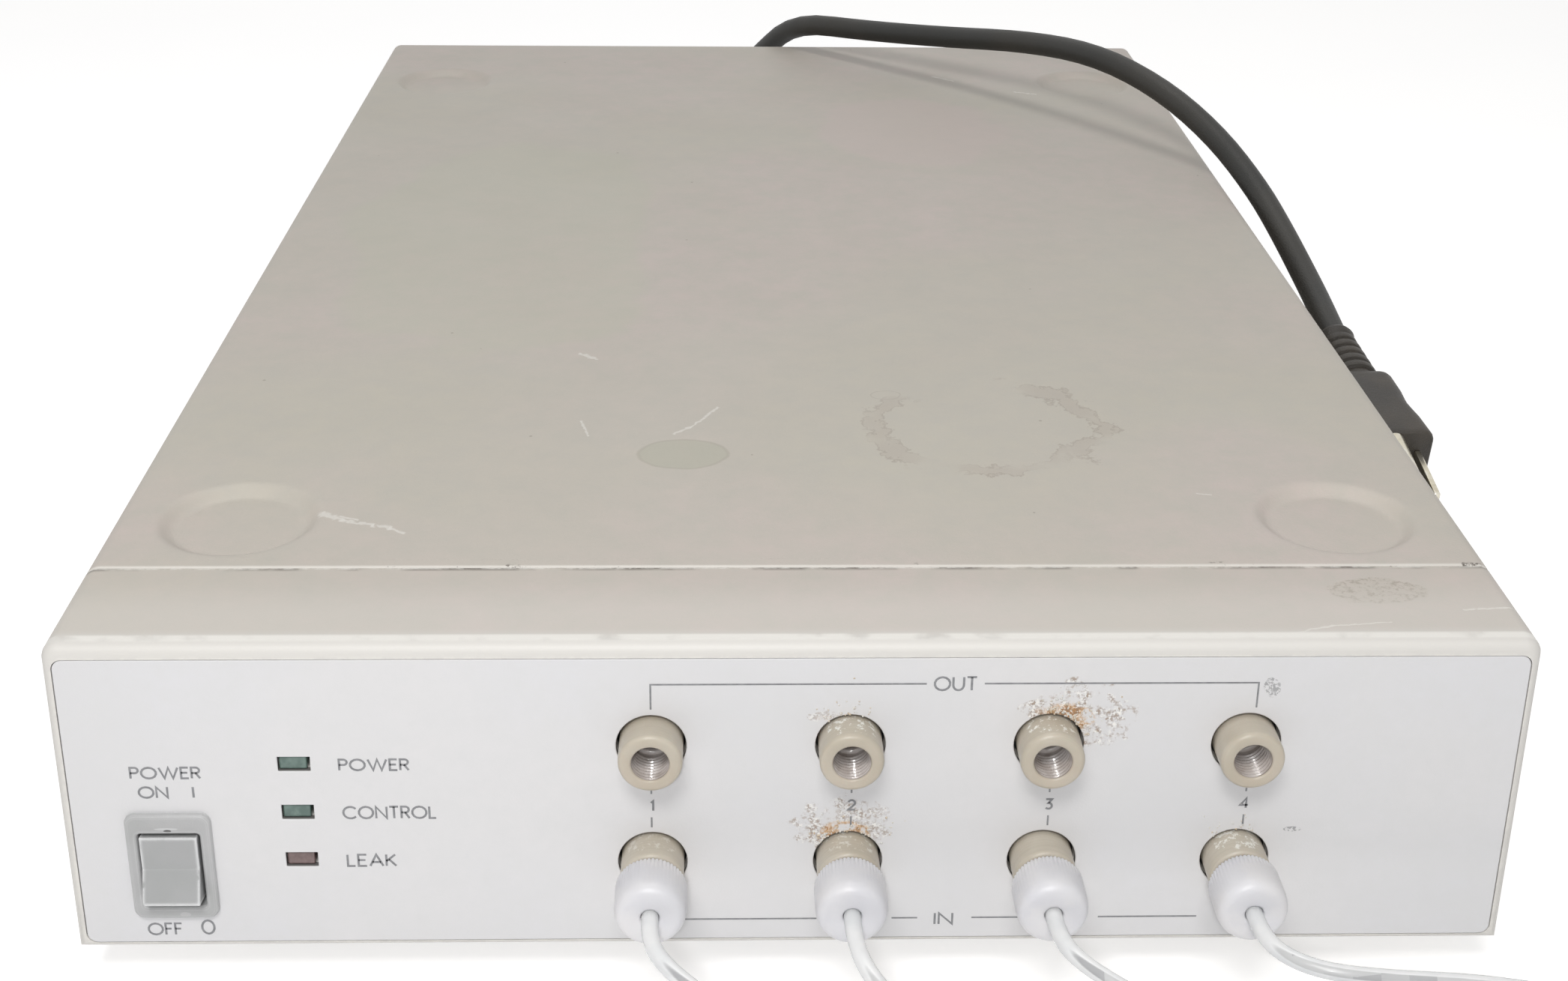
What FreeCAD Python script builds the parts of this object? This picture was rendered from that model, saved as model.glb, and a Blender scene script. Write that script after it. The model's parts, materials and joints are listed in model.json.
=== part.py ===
"""Four-channel on-line solvent degasser, a flat bench instrument, built as separate pieces.

Lengths are millimetres. X runs to the right along the front, Y runs to the back and Z up. The
origin is on the surface that the feet stand on, in the middle of the instrument's own box.
Distances named BEHIND run from the front panel's face towards the back, and those named INSET
run inwards from the side of the case that the piece sits nearer to.
"""

import FreeCAD
import Part
import math
import os

V = FreeCAD.Vector
X = V(1, 0, 0)
Y = V(0, 1, 0)
Z = V(0, 0, 1)

# Values of the method, not of the object
TINY = 1e-6
FULL_TURN = 360
ARC_SHARE = 0.45

# Case
CASE_W = 260.0
CASE_D = 420.0
CASE_H = 63.0
SHEET = 1.2
SHEET_FIT = 0.2
CORNER_R = 3.0

# Front bezel and panel
BEZEL_D = 28.0
BEZEL_WALL = 2.5
BEZEL_BOTTOM_R = 2.0
SEAM = 0.4
LIP_D = 5.0
LIP_T = 1.5
PANEL_T = 1.5
PANEL_GAP = 0.15
PANEL_SIDE_MARGIN = 1.8
PANEL_TOP_MARGIN = 2.8
PANEL_BOTTOM_MARGIN = 1.4
PANEL_CORNER_R = 2.0

# Feet and the dimples that hold the feet of a second unit
FOOT_H = 9.0
FOOT_R = 11.0
FOOT_TAPER = 0.8
FOOT_HOLE_R = 2.6
FOOT_HOLE_L = 5.0
FOOT_SIDE_INSET = 24.2
FOOT_INSET = 48.7
DIMPLE_FLAT_R = 12.5
DIMPLE_RIM_R = 15.0
DIMPLE_DEEP = 2.0

# Base tray
TRAY_SIDE_H = 14.0
TRAY_SIDE_INSET = 8.0
TRAY_REAR_H = 13.0
TONGUE_FRONT_GAP = 2.0
VENT_W = 3.0
VENT_L = 30.0
VENT_PITCH = 9.0
VENT_COUNT = 8
FLOOR_VENT_BEHIND = 225.0
FLOOR_VENT_INSET = 46.0

# Rear panel
REAR_FLANGE_L = 10.0
REAR_FLANGE_INSET = 1.6
COVER_TAB_H = 12.0
TAB_INSET = 17.0
TAB_W = 22.0
REAR_VENT_W = 2.6
REAR_VENT_L = 16.0
REAR_VENT_PITCH = 7.0
REAR_VENT_COUNT = 9
REAR_VENT_INSET = 68.0
REAR_VENT_Z = 32.0

# Cover screws
SCREW_INSET = 16.0
SCREW_LOW_Z = 6.5
SCREW_DOWN = 7.5
SCREW_R = 1.5
SCREW_CLEAR = 0.08
SCREW_HEAD_R = 2.9
SCREW_HEAD_H = 2.0
SCREW_L = 5.0
SCREW_SLOT_W = 0.8
SCREW_SLOT_DEEP = 1.0

# Ports
PORTS = 4
PORT_X = -25.6
PORT_PITCH = 35.0
OUT_Z = 42.6
ROW_DROP = 24.2
PORT_HOLE_R = 6.2
PORT_R = 5.65
PORT_EDGE_R = 0.9
PORT_REACH = 6.0
PORT_MOUTH_R = 3.3
PORT_MOUTH_CHAMFER = 0.45
PORT_BORE_L = 12.0
PORT_WAY_R = 0.8
PORT_SHANK_R = 4.0
SHANK_FIT = 0.06
PORT_TAIL_L = 11.0
BRACKET_BEHIND = 12.0
BRACKET_T = 1.5
BRACKET_MARGIN_X = 14.0
BRACKET_TOP_MARGIN = 9.0
BRACKET_FOOT_L = 11.0
LOCKNUT_FLATS = 11.0
LOCKNUT_H = 4.0
HEX_SIDES = 6

# Inlet nuts, their ferrules and tubes
TUBE_OD = 3.0
TUBE_FIT = 0.08
NUT_R = 6.35
NUT_L = 10.3
NUT_GAP = 0.3
NUT_NOSE_L = 1.6
NUT_NECK_R = 4.9
NUT_NECK_L = 1.4
THREAD_FIT = 0.08
NUT_THREAD_L = 8.0
FERRULE_GAP = 0.2
FERRULE_SEAT_GAP = 0.1
FERRULE_WIDE_R = 2.9
FERRULE_TIP_R = 1.8

# Inlet coils and suction filters
TURN_PITCH = 3.1
COIL_OUTER_R = 22.0
COIL_TURNS = 8.0
COIL_STUB_L = 13.0
COIL_END_STUB_L = 16.0
COIL_ROUND = 1.2
COIL_Y = -288.0
COIL_X = (-14.0, 36.0, 86.0, 136.0)
FILTER_NECK_R = 2.6
FILTER_NECK_L = 6.0
FILTER_L = 22.0
FILTER_EDGE_R = 1.0

# Mains lead
LEAD_OD = 7.0
LEAD_PITCH = 7.2
LEAD_OUTER_R = 47.0
LEAD_TURNS = 6.6
LEAD_STUB_L = 27.0
LEAD_ROUND = 2.5
LEAD_COIL_X = -31.0
LEAD_COIL_Y = 355.0
GLAND_X = 16.0
GLAND_Z = 17.0
GLAND_HOLE_R = 8.0
GLAND_FIT = 0.1
GLAND_FLANGE_R = 10.0
GLAND_FLANGE_T = 2.5
GLAND_INSIDE_L = 12.0
GLAND_NUT_R = 11.0
GLAND_NUT_T = 4.0
RELIEF_BASE_R = 7.0
RELIEF_TIP_R = 4.6
RELIEF_L = 30.0

# Plug
PLUG_RELIEF_L = 24.0
PLUG_RELIEF_R = 5.6
PLUG_RELIEF_TIP_R = 4.4
PLUG_BODY_L = 30.0
PLUG_BACK_W = 17.0
PLUG_FACE_W = 25.0
PLUG_BACK_T = 13.0
PLUG_FACE_T = 19.0
PLUG_ROUND = 3.0
BLADE_L = 17.0
BLADE_W = 6.3
BLADE_T = 1.5
BLADE_APART = 12.7
EARTH_R = 2.4
EARTH_OFF = 6.2
PLUG_EDGE_LEAN = 30.0

# Rocker switch
SWITCH_INSET = 18.8
SWITCH_Z = 18.4
SWITCH_FRAME_W = 15.2
SWITCH_FRAME_H = 22.0
SWITCH_FRAME_T = 1.2
SWITCH_FRAME_R = 2.0
SWITCH_BODY_W = 13.0
SWITCH_BODY_H = 19.6
SWITCH_BODY_L = 22.0
SWITCH_CUT_GAP = 0.3
ROCKER_W = 10.2
ROCKER_H = 14.7
ROCKER_Z = 17.65
ROCKER_GAP = 0.3
ROCKER_TURN = 20.0
ROCKER_PROUD = 0.3
PIVOT_BEHIND = 2.5
PIVOT_R = 1.2
PIVOT_FIT = 0.06
PIVOT_L = 1.0
ROCKER_BACK = 2.6
WELL_DEEP = 10.0
TERMINAL_W = 4.8
TERMINAL_T = 0.8
TERMINAL_L = 7.0
TERMINAL_PITCH = 6.5
TERMINAL_COUNT = 3

# Lamps
LAMP_INSET = 41.8
LAMP_TOP_Z = 39.2
LAMP_PITCH = 10.0
LAMP_WINDOW_W = 5.7
LAMP_WINDOW_H = 3.0
LAMP_W = 4.9
LAMP_H = 2.7
LAMP_SUNK = 0.5
LAMP_BOARD_BEHIND = 8.0
LAMP_BOARD_T = 1.6
LAMP_BOARD_W = 22.0
LAMP_BOARD_MARGIN = 7.0
BOSS_R = 2.5

# Vacuum chamber with four membrane coils
CHAMBER_BEHIND = 90.0
CHAMBER_D = 112.0
CHAMBER_MARGIN_X = 13.0
CHAMBER_H = 36.0
CHAMBER_WALL = 6.0
CHAMBER_LID_H = 6.0
CHAMBER_LID_LIP = 2.0
LID_FIT = 0.15
MEMBRANE_GAP = 1.0
MEMBRANE_H = 18.0
MEMBRANE_BAND = 9.0
LINE_OD = 3.0
OUT_LINE_DROP = 12.0
LINE_LEAD_IN = 16.0

# Vacuum pump, its eccentric and hoses
MOTOR_INSET = 18.0
MOTOR_L = 48.0
MOTOR_R = 17.0
MOTOR_FOOT_H = 4.0
MOTOR_FOOT_W = 20.0
MOTOR_BEHIND = 300.0
SHAFT_R = 1.5
SHAFT_FIT = 0.05
SHAFT_BORE_L = 9.0
SHAFT_END_GAP = 0.5
ECCENTRIC_R = 6.0
ECCENTRIC_OFF = 1.5
ECCENTRIC_T = 6.0
ECCENTRIC_FROM_MOTOR = 5.0
PUMP_GAP = 2.0
PUMP_L = 34.0
PUMP_D = 42.0
PUMP_CAVITY_R = 10.0
PUMP_CAVITY_L = 16.0
PUMP_TOP_OVER = 13.0
PUMP_COVER_H = 6.0
PUMP_COVER_IN = 3.0
HOSE_OD = 6.0
HOSE_Z = 34.0
HOSE_CHAMBER_X = -5.0
HOSE_LEAD_IN = 22.0
EXHAUST_INSET = 38.0
EXHAUST_R = 2.5
EXHAUST_BORE_R = 1.2
EXHAUST_EDGE_R = 0.6
EXHAUST_REACH = 16.6
EXHAUST_THREAD_R = 4.0
EXHAUST_FLANGE_R = 6.5
EXHAUST_FLANGE_T = 3.0
EXHAUST_INSIDE_L = 12.0

# Vent valve
VALVE_INSET = 18.0
VALVE_BEHIND = 236.0
VALVE_SIDE = 20.0
VALVE_H = 24.0
PLUNGER_R = 3.0
PLUNGER_FIT = 0.06
PLUNGER_L = 18.0
PLUNGER_PROUD = 5.0
PLUNGER_TRAVEL = 2.0
PLUNGER_END_GAP = 0.8

# Boards and the leak sensor
BOARD_T = 1.6
POST_R = 3.0
POST_H = 6.0
POST_INSET = 6.0
CONTROL_INSET = 8.0
CONTROL_W = 70.0
CONTROL_BEHIND = 50.0
CONTROL_D = 165.0
CHIP_H = 3.0
CHIP_SIDE = 18.0
CHIP_GAP = 12.0
CHIP_COUNT = 4
SUPPLY_INSET = 12.0
SUPPLY_W = 100.0
SUPPLY_TO_REAR = 24.0
SUPPLY_D = 104.0
TRANSFORMER_SIDE = 36.0
TRANSFORMER_H = 30.0
CAPACITOR_R = 9.0
CAPACITOR_H = 28.0
CAPACITOR_COUNT = 2
CAPACITOR_APART = 6.0
SINK_T = 3.0
SINK_H = 34.0
LEAK_INSET = 10.0
LEAK_BEHIND = 44.0
LEAK_W = 16.0
LEAK_D = 12.0
LEAK_H = 6.0
PRONG_R = 1.0
PRONG_L = 8.0
PRONG_APART = 5.4

# Places worked out from the sizes above
CASE_Z = FOOT_H
TOP_Z = CASE_Z + CASE_H
HALF_W = CASE_W / 2
LEFT_X = -HALF_W
RIGHT_X = HALF_W
NUT_REACH = PORT_REACH + NUT_GAP + NUT_L
REAR_REACH = max(EXHAUST_REACH, SCREW_HEAD_H)
FRONT_Y = NUT_REACH - (CASE_D + NUT_REACH + REAR_REACH) / 2
REAR_Y = FRONT_Y + CASE_D
FLOOR_Z = CASE_Z + SHEET
COVER_Y = FRONT_Y + BEZEL_D + SEAM
COVER_IN_X = HALF_W - SHEET
COVER_IN_Z = TOP_Z - SHEET
TRAY_HALF_W = COVER_IN_X - SHEET_FIT
TONGUE_Z = CASE_Z + BEZEL_WALL
TONGUE_TOP_Z = TONGUE_Z + SHEET
BEZEL_BACK_OF_WALL = PANEL_T + BEZEL_WALL
REAR_IN_Y = REAR_Y - SHEET
PORT_XS = [PORT_X + PORT_PITCH * n for n in range(PORTS)]
OUT_ROW_Z = CASE_Z + OUT_Z
IN_ROW_Z = OUT_ROW_Z - ROW_DROP
NUT_THREAD_R = PORT_MOUTH_R - THREAD_FIT
PORT_TAIL_Y = FRONT_Y + BRACKET_BEHIND + PORT_TAIL_L
PORT_FLOOR_Y = FRONT_Y - PORT_REACH + PORT_BORE_L
NUT_FRONT_Y = FRONT_Y - NUT_REACH
CHAMBER_Y = FRONT_Y + CHAMBER_BEHIND
CHAMBER_LEFT_X = PORT_XS[0] - CHAMBER_MARGIN_X
CHAMBER_RIGHT_X = PORT_XS[-1] + CHAMBER_MARGIN_X
CHAMBER_TOP_Z = FLOOR_Z + CHAMBER_H
MOTOR_X = LEFT_X + MOTOR_INSET
MOTOR_Y = FRONT_Y + MOTOR_BEHIND
MOTOR_Z = FLOOR_Z + MOTOR_FOOT_H + MOTOR_R
MOTOR_FACE_X = MOTOR_X + MOTOR_L
PUMP_X = MOTOR_FACE_X + PUMP_GAP
PUMP_MID_X = PUMP_X + PUMP_L / 2
EXHAUST_X = LEFT_X + EXHAUST_INSET
VALVE_X = LEFT_X + VALVE_INSET
CONTROL_X = LEFT_X + CONTROL_INSET
SUPPLY_X = RIGHT_X - SUPPLY_INSET - SUPPLY_W
SUPPLY_Y = REAR_Y - SUPPLY_TO_REAR - SUPPLY_D
LEAK_X = RIGHT_X - LEAK_INSET - LEAK_W
SWITCH_X = LEFT_X + SWITCH_INSET
LAMP_X = LEFT_X + LAMP_INSET
ROCKER_PIVOT = V(SWITCH_X, FRONT_Y + PIVOT_BEHIND, CASE_Z + ROCKER_Z)

# Routes of the cords, chosen point by point. Each tube ends on the coil that holds the rest.
INLET_ROUTES = (
    [V(-25.6, -226.6, 27.4), V(-25.6, -233.0, 27.4), V(-22.2, -239.4, 26.8), V(-15.4, -244.8, 24.8),
     V(-6.8, -249.4, 19.2), V(1.0, -254.4, 11.2), V(6.2, -260.8, 4.8), V(8.0, -268.0, 1.5),
     V(8.0, -275.0, 1.5)],
    [V(9.4, -226.6, 27.4), V(9.4, -234.0, 27.4), V(12.0, -242.0, 26.2), V(18.8, -248.8, 22.8),
     V(28.6, -253.0, 17.2), V(39.0, -255.6, 11.2), V(48.0, -258.4, 6.2), V(54.2, -262.4, 3.0),
     V(58.0, -268.6, 1.5), V(58.0, -275.0, 1.5)],
    [V(44.4, -226.6, 27.4), V(44.4, -233.0, 27.4), V(47.8, -239.2, 26.9), V(54.4, -244.2, 25.4),
     V(63.6, -247.8, 22.2), V(75.2, -250.6, 17.2), V(87.0, -253.4, 11.4), V(97.2, -257.0, 6.0),
     V(104.4, -262.4, 2.6), V(108.0, -268.8, 1.5), V(108.0, -275.0, 1.5)],
    [V(79.4, -226.6, 27.4), V(79.4, -232.6, 27.4), V(82.4, -238.2, 27.3), V(88.4, -241.8, 27.1),
     V(99.0, -243.4, 26.9), V(113.6, -244.2, 26.6), V(129.0, -245.4, 24.6), V(141.6, -248.8, 18.6),
     V(150.4, -254.2, 10.4), V(155.6, -261.0, 4.0), V(158.0, -268.4, 1.5), V(158.0, -275.0, 1.5)],
)
LEAD_REAR_ROUTE = [
    V(16.0, 242.5, 26.0), V(16.0, 256.0, 26.0), V(16.1, 273.0, 20.5), V(16.1, 289.0, 10.5),
    V(16.0, 303.0, 5.0), V(16.0, 316.0, 3.5), V(16.0, 328.0, 3.5),
]
LEAD_FRONT_ROUTE = [
    V(-53.15, 305.525, 10.7), V(-45.52, 295.02, 10.7), V(-34.5, 279.5, 17.0), V(-22.5, 261.5, 31.0),
    V(-11.0, 244.0, 49.0), V(-0.5, 227.5, 65.5), V(11.5, 211.0, 80.6), V(34.0, 189.0, 83.0),
    V(59.5, 163.5, 87.0), V(83.0, 136.0, 92.5), V(101.0, 110.5, 94.8), V(117.0, 86.5, 90.6),
    V(129.8, 66.0, 82.0), V(138.4, 46.4, 71.9), V(142.4, 30.6, 64.4), V(144.6, 14.6, 58.8),
    V(145.6, -1.0, 55.0), V(145.8, -16.4, 51.8),
]


def box(x0, x1, y0, y1, z0, z1):
    """A block between two corners."""
    return Part.makeBox(x1 - x0, y1 - y0, z1 - z0, V(x0, y0, z0))


def rod(at, way, radius, length):
    """A round bar from a point along a direction."""
    return Part.makeCylinder(radius, length, at, way)


def through(at, way, radius, wall):
    """A round cut through a wall from its near face, which passes both faces by the wall's size."""
    return rod(at - way * wall, way, radius, wall * 3)


def cone(at, way, radius_at, radius_far, length):
    """A tapered round bar from a point along a direction."""
    return Part.makeCone(radius_at, radius_far, length, at, way)


def fused(shapes):
    """One solid out of pieces that meet, without the seams between them."""
    whole = shapes[0]
    for shape in shapes[1:]:
        whole = whole.fuse(shape)
    return whole.removeSplitter()


def group(shapes):
    """Separate solids that share one node."""
    return Part.makeCompound(shapes)


def edges_where(shape, test):
    """The edges of a shape whose box passes a test."""
    return [edge for edge in shape.Edges if test(edge.BoundBox)]


def upright_edges(shape):
    """The edges that run along Z."""
    return edges_where(shape, lambda b: b.XLength < TINY and b.YLength < TINY)


def deep_edges(shape):
    """The edges that run along Y."""
    return edges_where(shape, lambda b: b.XLength < TINY and b.ZLength < TINY)


def turned(profile, at, way):
    """A solid of revolution. The profile is a list of (radius, distance along the axis)."""
    points = [V(radius, 0, along) for radius, along in profile]
    face = Part.Face(Part.makePolygon(points + [points[0]]))
    solid = face.revolve(V(0, 0, 0), Z, FULL_TURN)
    solid.Placement = FreeCAD.Placement(at, FreeCAD.Rotation(Z, way))
    return solid


def save(node, shape):
    """Writes a node's STEP file and prints what it holds."""
    shape.exportStep(f"parts/{node}.step")
    print(f"{node}: {len(shape.Solids)} solids, {shape.Volume:.1f} mm3, valid {shape.isValid()}")


def lead_path(points, name):
    """Straight runs joined by tangent arcs, each as large as its two runs allow."""
    edges = []
    last = points[0]
    smallest = None
    for before, corner, after in zip(points, points[1:], points[2:]):
        into = (corner - before).normalize()
        out = (after - corner).normalize()
        half = into.getAngle(out) / 2
        reach = ARC_SHARE * min((corner - before).Length, (after - corner).Length)
        radius = reach / math.tan(half)
        smallest = radius if smallest is None else min(smallest, radius)
        start = corner - into * reach
        end = corner + out * reach
        inward = (out - into).normalize()
        middle = corner + inward * (radius / math.cos(half) - radius)
        edges.append(Part.LineSegment(last, start).toShape())
        edges.append(Part.Arc(start, middle, end).toShape())
        last = end
    edges.append(Part.LineSegment(last, points[-1]).toShape())
    wire = Part.Wire(edges)
    print(f"{name}: {wire.Length:.1f} mm long, smallest radius {smallest:.1f} mm")
    return wire


def cord_tube(points, diameter, name):
    """A round tube along a route, with its volume set against section times length."""
    path = lead_path(points, name)
    circle = Part.Wire(Part.makeCircle(diameter / 2, points[0], (points[1] - points[0]).normalize()))
    tube = path.makePipeShell([circle], True, False)
    due = math.pi * diameter ** 2 / 4 * path.Length
    print(f"{name}: volume {tube.Volume / due:.4f} of section times length")
    return tube


def coil_ring(centre, outer_r, turns, pitch, diameter, rounding):
    """The outer shape of a flat coil of two layers, as one ring that stands on the surface."""
    inner_r = outer_r - pitch * turns / 2
    height = diameter + pitch
    ring = rod(centre, Z, outer_r + diameter / 2, height)
    ring = ring.cut(rod(centre, Z, inner_r - diameter / 2, height))
    return ring.makeFillet(rounding, edges_where(ring, lambda b: b.ZLength < TINY))


os.makedirs("parts", exist_ok=True)

# Base tray: floor, tongue that goes into the bezel, turned-up sides, two rear tabs, vents
tray_floor = box(-TRAY_HALF_W, TRAY_HALF_W, COVER_Y, REAR_Y, CASE_Z, FLOOR_Z)
tongue_half_w = HALF_W - BEZEL_WALL - SHEET_FIT
tongue_front = FRONT_Y + BEZEL_BACK_OF_WALL + TONGUE_FRONT_GAP
tongue = box(-tongue_half_w, tongue_half_w, tongue_front, COVER_Y + SHEET, TONGUE_Z, TONGUE_TOP_Z)
tongue_riser = box(-tongue_half_w, tongue_half_w, COVER_Y, COVER_Y + SHEET, CASE_Z, TONGUE_TOP_Z)
side_front = COVER_Y + LIP_D + TRAY_SIDE_INSET
tray_pieces = [tray_floor, tongue, tongue_riser]
for side in (-1, 1):
    outer_x = side * TRAY_HALF_W
    inner_x = side * (TRAY_HALF_W - SHEET)
    tray_pieces.append(box(min(outer_x, inner_x), max(outer_x, inner_x), side_front,
                           REAR_IN_Y - REAR_FLANGE_L, CASE_Z, CASE_Z + TRAY_SIDE_H))
    tab_x = side * (HALF_W - TAB_INSET)
    tray_pieces.append(box(tab_x - TAB_W / 2, tab_x + TAB_W / 2, REAR_IN_Y - SHEET, REAR_IN_Y,
                           CASE_Z, CASE_Z + TRAY_REAR_H))
base_tray = fused(tray_pieces)
screw_spots = []
for side in (-1, 1):
    screw_x = side * (HALF_W - SCREW_INSET)
    screw_spots.append((screw_x, CASE_Z + SCREW_LOW_Z))
    screw_spots.append((screw_x, COVER_IN_Z - SCREW_DOWN))
screw_holes = []
for screw_x, screw_z in screw_spots:
    screw_holes.append(rod(V(screw_x, REAR_Y + SHEET, screw_z), -Y, SCREW_R + SCREW_CLEAR, SCREW_L + SHEET))
floor_vents = []
for number in range(VENT_COUNT):
    vent_x = RIGHT_X - FLOOR_VENT_INSET + (number - (VENT_COUNT - 1) / 2) * VENT_PITCH
    vent_y = FRONT_Y + FLOOR_VENT_BEHIND
    floor_vents.append(box(vent_x - VENT_W / 2, vent_x + VENT_W / 2, vent_y, vent_y + VENT_L,
                           CASE_Z - SHEET, FLOOR_Z + SHEET))
base_tray = base_tray.cut(group(screw_holes + floor_vents))
save("base_tray", base_tray)

# Rear panel: a sheet with forward side flanges, vents and the holes for the lead and the exhaust
rear_top_z = COVER_IN_Z - SHEET_FIT
rear_plate = box(-TRAY_HALF_W, TRAY_HALF_W, REAR_IN_Y, REAR_Y, FLOOR_Z, rear_top_z)
rear_plate = rear_plate.makeFillet(CORNER_R - SHEET - SHEET_FIT, edges_where(
    rear_plate, lambda b: b.XLength < TINY and b.ZLength < TINY and b.ZMin > rear_top_z - SHEET))
rear_pieces = [rear_plate]
for side in (-1, 1):
    flange_out = side * (TRAY_HALF_W - REAR_FLANGE_INSET)
    flange_in = side * (TRAY_HALF_W - REAR_FLANGE_INSET - SHEET)
    rear_pieces.append(box(min(flange_out, flange_in), max(flange_out, flange_in),
                           REAR_IN_Y - REAR_FLANGE_L + SHEET, REAR_IN_Y, FLOOR_Z, rear_top_z))
rear_panel = fused(rear_pieces)
rear_cuts = list(screw_holes)
gland_at = V(GLAND_X, REAR_Y, CASE_Z + GLAND_Z)
exhaust_at = V(EXHAUST_X, REAR_Y, CASE_Z + HOSE_Z)
rear_cuts.append(through(gland_at, -Y, GLAND_HOLE_R, SHEET))
rear_cuts.append(through(exhaust_at, -Y, EXHAUST_THREAD_R + SHANK_FIT, SHEET))
for number in range(REAR_VENT_COUNT):
    vent_x = RIGHT_X - REAR_VENT_INSET + (number - (REAR_VENT_COUNT - 1) / 2) * REAR_VENT_PITCH
    vent_z = CASE_Z + REAR_VENT_Z
    rear_cuts.append(box(vent_x - REAR_VENT_W / 2, vent_x + REAR_VENT_W / 2, REAR_IN_Y - SHEET,
                         REAR_Y + SHEET, vent_z - REAR_VENT_L / 2, vent_z + REAR_VENT_L / 2))
rear_panel = rear_panel.cut(group(rear_cuts))
save("rear_panel", rear_panel)

# Top cover: one sheet over the top and both sides, with four pressed dimples and two rear tabs
cover_out = box(-HALF_W, HALF_W, COVER_Y, REAR_Y, CASE_Z, TOP_Z)
cover_out = cover_out.makeFillet(CORNER_R, edges_where(
    cover_out, lambda b: b.XLength < TINY and b.ZLength < TINY and b.ZMin > CASE_Z))
cover_in = box(-COVER_IN_X, COVER_IN_X, COVER_Y - SHEET, REAR_Y + SHEET, CASE_Z - SHEET, COVER_IN_Z)
cover_in = cover_in.makeFillet(CORNER_R - SHEET, edges_where(
    cover_in, lambda b: b.XLength < TINY and b.ZLength < TINY and b.ZMin > CASE_Z))
cover_sheet = cover_out.cut(cover_in)
cover_pieces = [cover_sheet]
cover_cuts = list(screw_holes)
foot_spots = []
for side in (-1, 1):
    for foot_y in (FRONT_Y + FOOT_INSET, REAR_Y - FOOT_INSET):
        foot_spots.append(V(side * (HALF_W - FOOT_SIDE_INSET), foot_y, 0))
for spot in foot_spots:
    dimple_top = V(spot.x, spot.y, TOP_Z)
    cover_pieces.append(cone(dimple_top, -Z, DIMPLE_RIM_R + SHEET, DIMPLE_FLAT_R + SHEET,
                             DIMPLE_DEEP + SHEET))
    cover_cuts.append(cone(dimple_top, -Z, DIMPLE_RIM_R, DIMPLE_FLAT_R, DIMPLE_DEEP))
for side in (-1, 1):
    tab_x = side * (HALF_W - TAB_INSET)
    cover_pieces.append(box(tab_x - TAB_W / 2, tab_x + TAB_W / 2, REAR_IN_Y - SHEET, REAR_IN_Y,
                            COVER_IN_Z - COVER_TAB_H, COVER_IN_Z + SHEET / 2))
top_cover = fused(cover_pieces).cut(group(cover_cuts))
save("top_cover", top_cover)

# Front bezel: a moulding open at the back, with the panel's recess, a lip under the cover and bosses
bezel_out = box(-HALF_W, HALF_W, FRONT_Y, FRONT_Y + BEZEL_D, CASE_Z, TOP_Z)
bezel_out = bezel_out.makeFillet(CORNER_R, edges_where(
    bezel_out, lambda b: b.XLength < TINY and b.ZLength < TINY and b.ZMin > CASE_Z))
bezel_out = bezel_out.makeFillet(BEZEL_BOTTOM_R, edges_where(
    bezel_out, lambda b: b.YLength < TINY and b.YMax < FRONT_Y + TINY))
bezel_in = box(-HALF_W + BEZEL_WALL, HALF_W - BEZEL_WALL, FRONT_Y + BEZEL_BACK_OF_WALL,
               FRONT_Y + BEZEL_D + SHEET, CASE_Z + BEZEL_WALL, TOP_Z - BEZEL_WALL)
bezel_in = bezel_in.makeFillet(CORNER_R - BEZEL_WALL / 2, edges_where(
    bezel_in, lambda b: b.XLength < TINY and b.ZLength < TINY and b.ZMin > TOP_Z - BEZEL_WALL - TINY))
panel_x = HALF_W - PANEL_SIDE_MARGIN
panel_low = CASE_Z + PANEL_BOTTOM_MARGIN
panel_high = TOP_Z - PANEL_TOP_MARGIN
recess = box(-panel_x, panel_x, FRONT_Y - PANEL_T, FRONT_Y + PANEL_T, panel_low, panel_high)
recess = recess.makeFillet(PANEL_CORNER_R, deep_edges(recess))
lip_out_x = COVER_IN_X - SHEET_FIT
lip_out_z = COVER_IN_Z - SHEET_FIT
lip_front = FRONT_Y + BEZEL_D - LIP_D
lip_back = COVER_Y + LIP_D
lip = box(-lip_out_x, lip_out_x, lip_front, lip_back, TONGUE_TOP_Z + SHEET, lip_out_z)
lip = lip.makeFillet(CORNER_R - SHEET, edges_where(
    lip, lambda b: b.XLength < TINY and b.ZLength < TINY and b.ZMin > lip_out_z - TINY))
lip = lip.cut(box(-lip_out_x + LIP_T, lip_out_x - LIP_T, lip_front - SHEET, lip_back + SHEET,
                  CASE_Z, lip_out_z - LIP_T))
bezel_pieces = [bezel_out.cut(bezel_in), lip]
lamp_nodes = ("power_lamp", "control_lamp", "leak_lamp")
lamp_zs = [CASE_Z + LAMP_TOP_Z - LAMP_PITCH * number for number in range(len(lamp_nodes))]
board_low = lamp_zs[-1] - LAMP_BOARD_MARGIN
board_high = lamp_zs[0] + LAMP_BOARD_MARGIN
for boss_z in (board_low + BOSS_R, board_high - BOSS_R):
    for side in (-1, 1):
        boss_x = LAMP_X + side * (LAMP_BOARD_W / 2 - BOSS_R)
        bezel_pieces.append(rod(V(boss_x, FRONT_Y + BEZEL_BACK_OF_WALL - SHEET, boss_z), Y, BOSS_R,
                                LAMP_BOARD_BEHIND - BEZEL_BACK_OF_WALL + SHEET))
bezel_cuts = [recess]
panel_cuts = []
port_spots = [V(x, 0, z) for z in (OUT_ROW_Z, IN_ROW_Z) for x in PORT_XS]
for spot in port_spots:
    hole = rod(V(spot.x, FRONT_Y - PANEL_T, spot.z), Y, PORT_HOLE_R, BEZEL_BACK_OF_WALL * 2)
    panel_cuts.append(hole)
switch_mid_z = CASE_Z + SWITCH_Z
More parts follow.
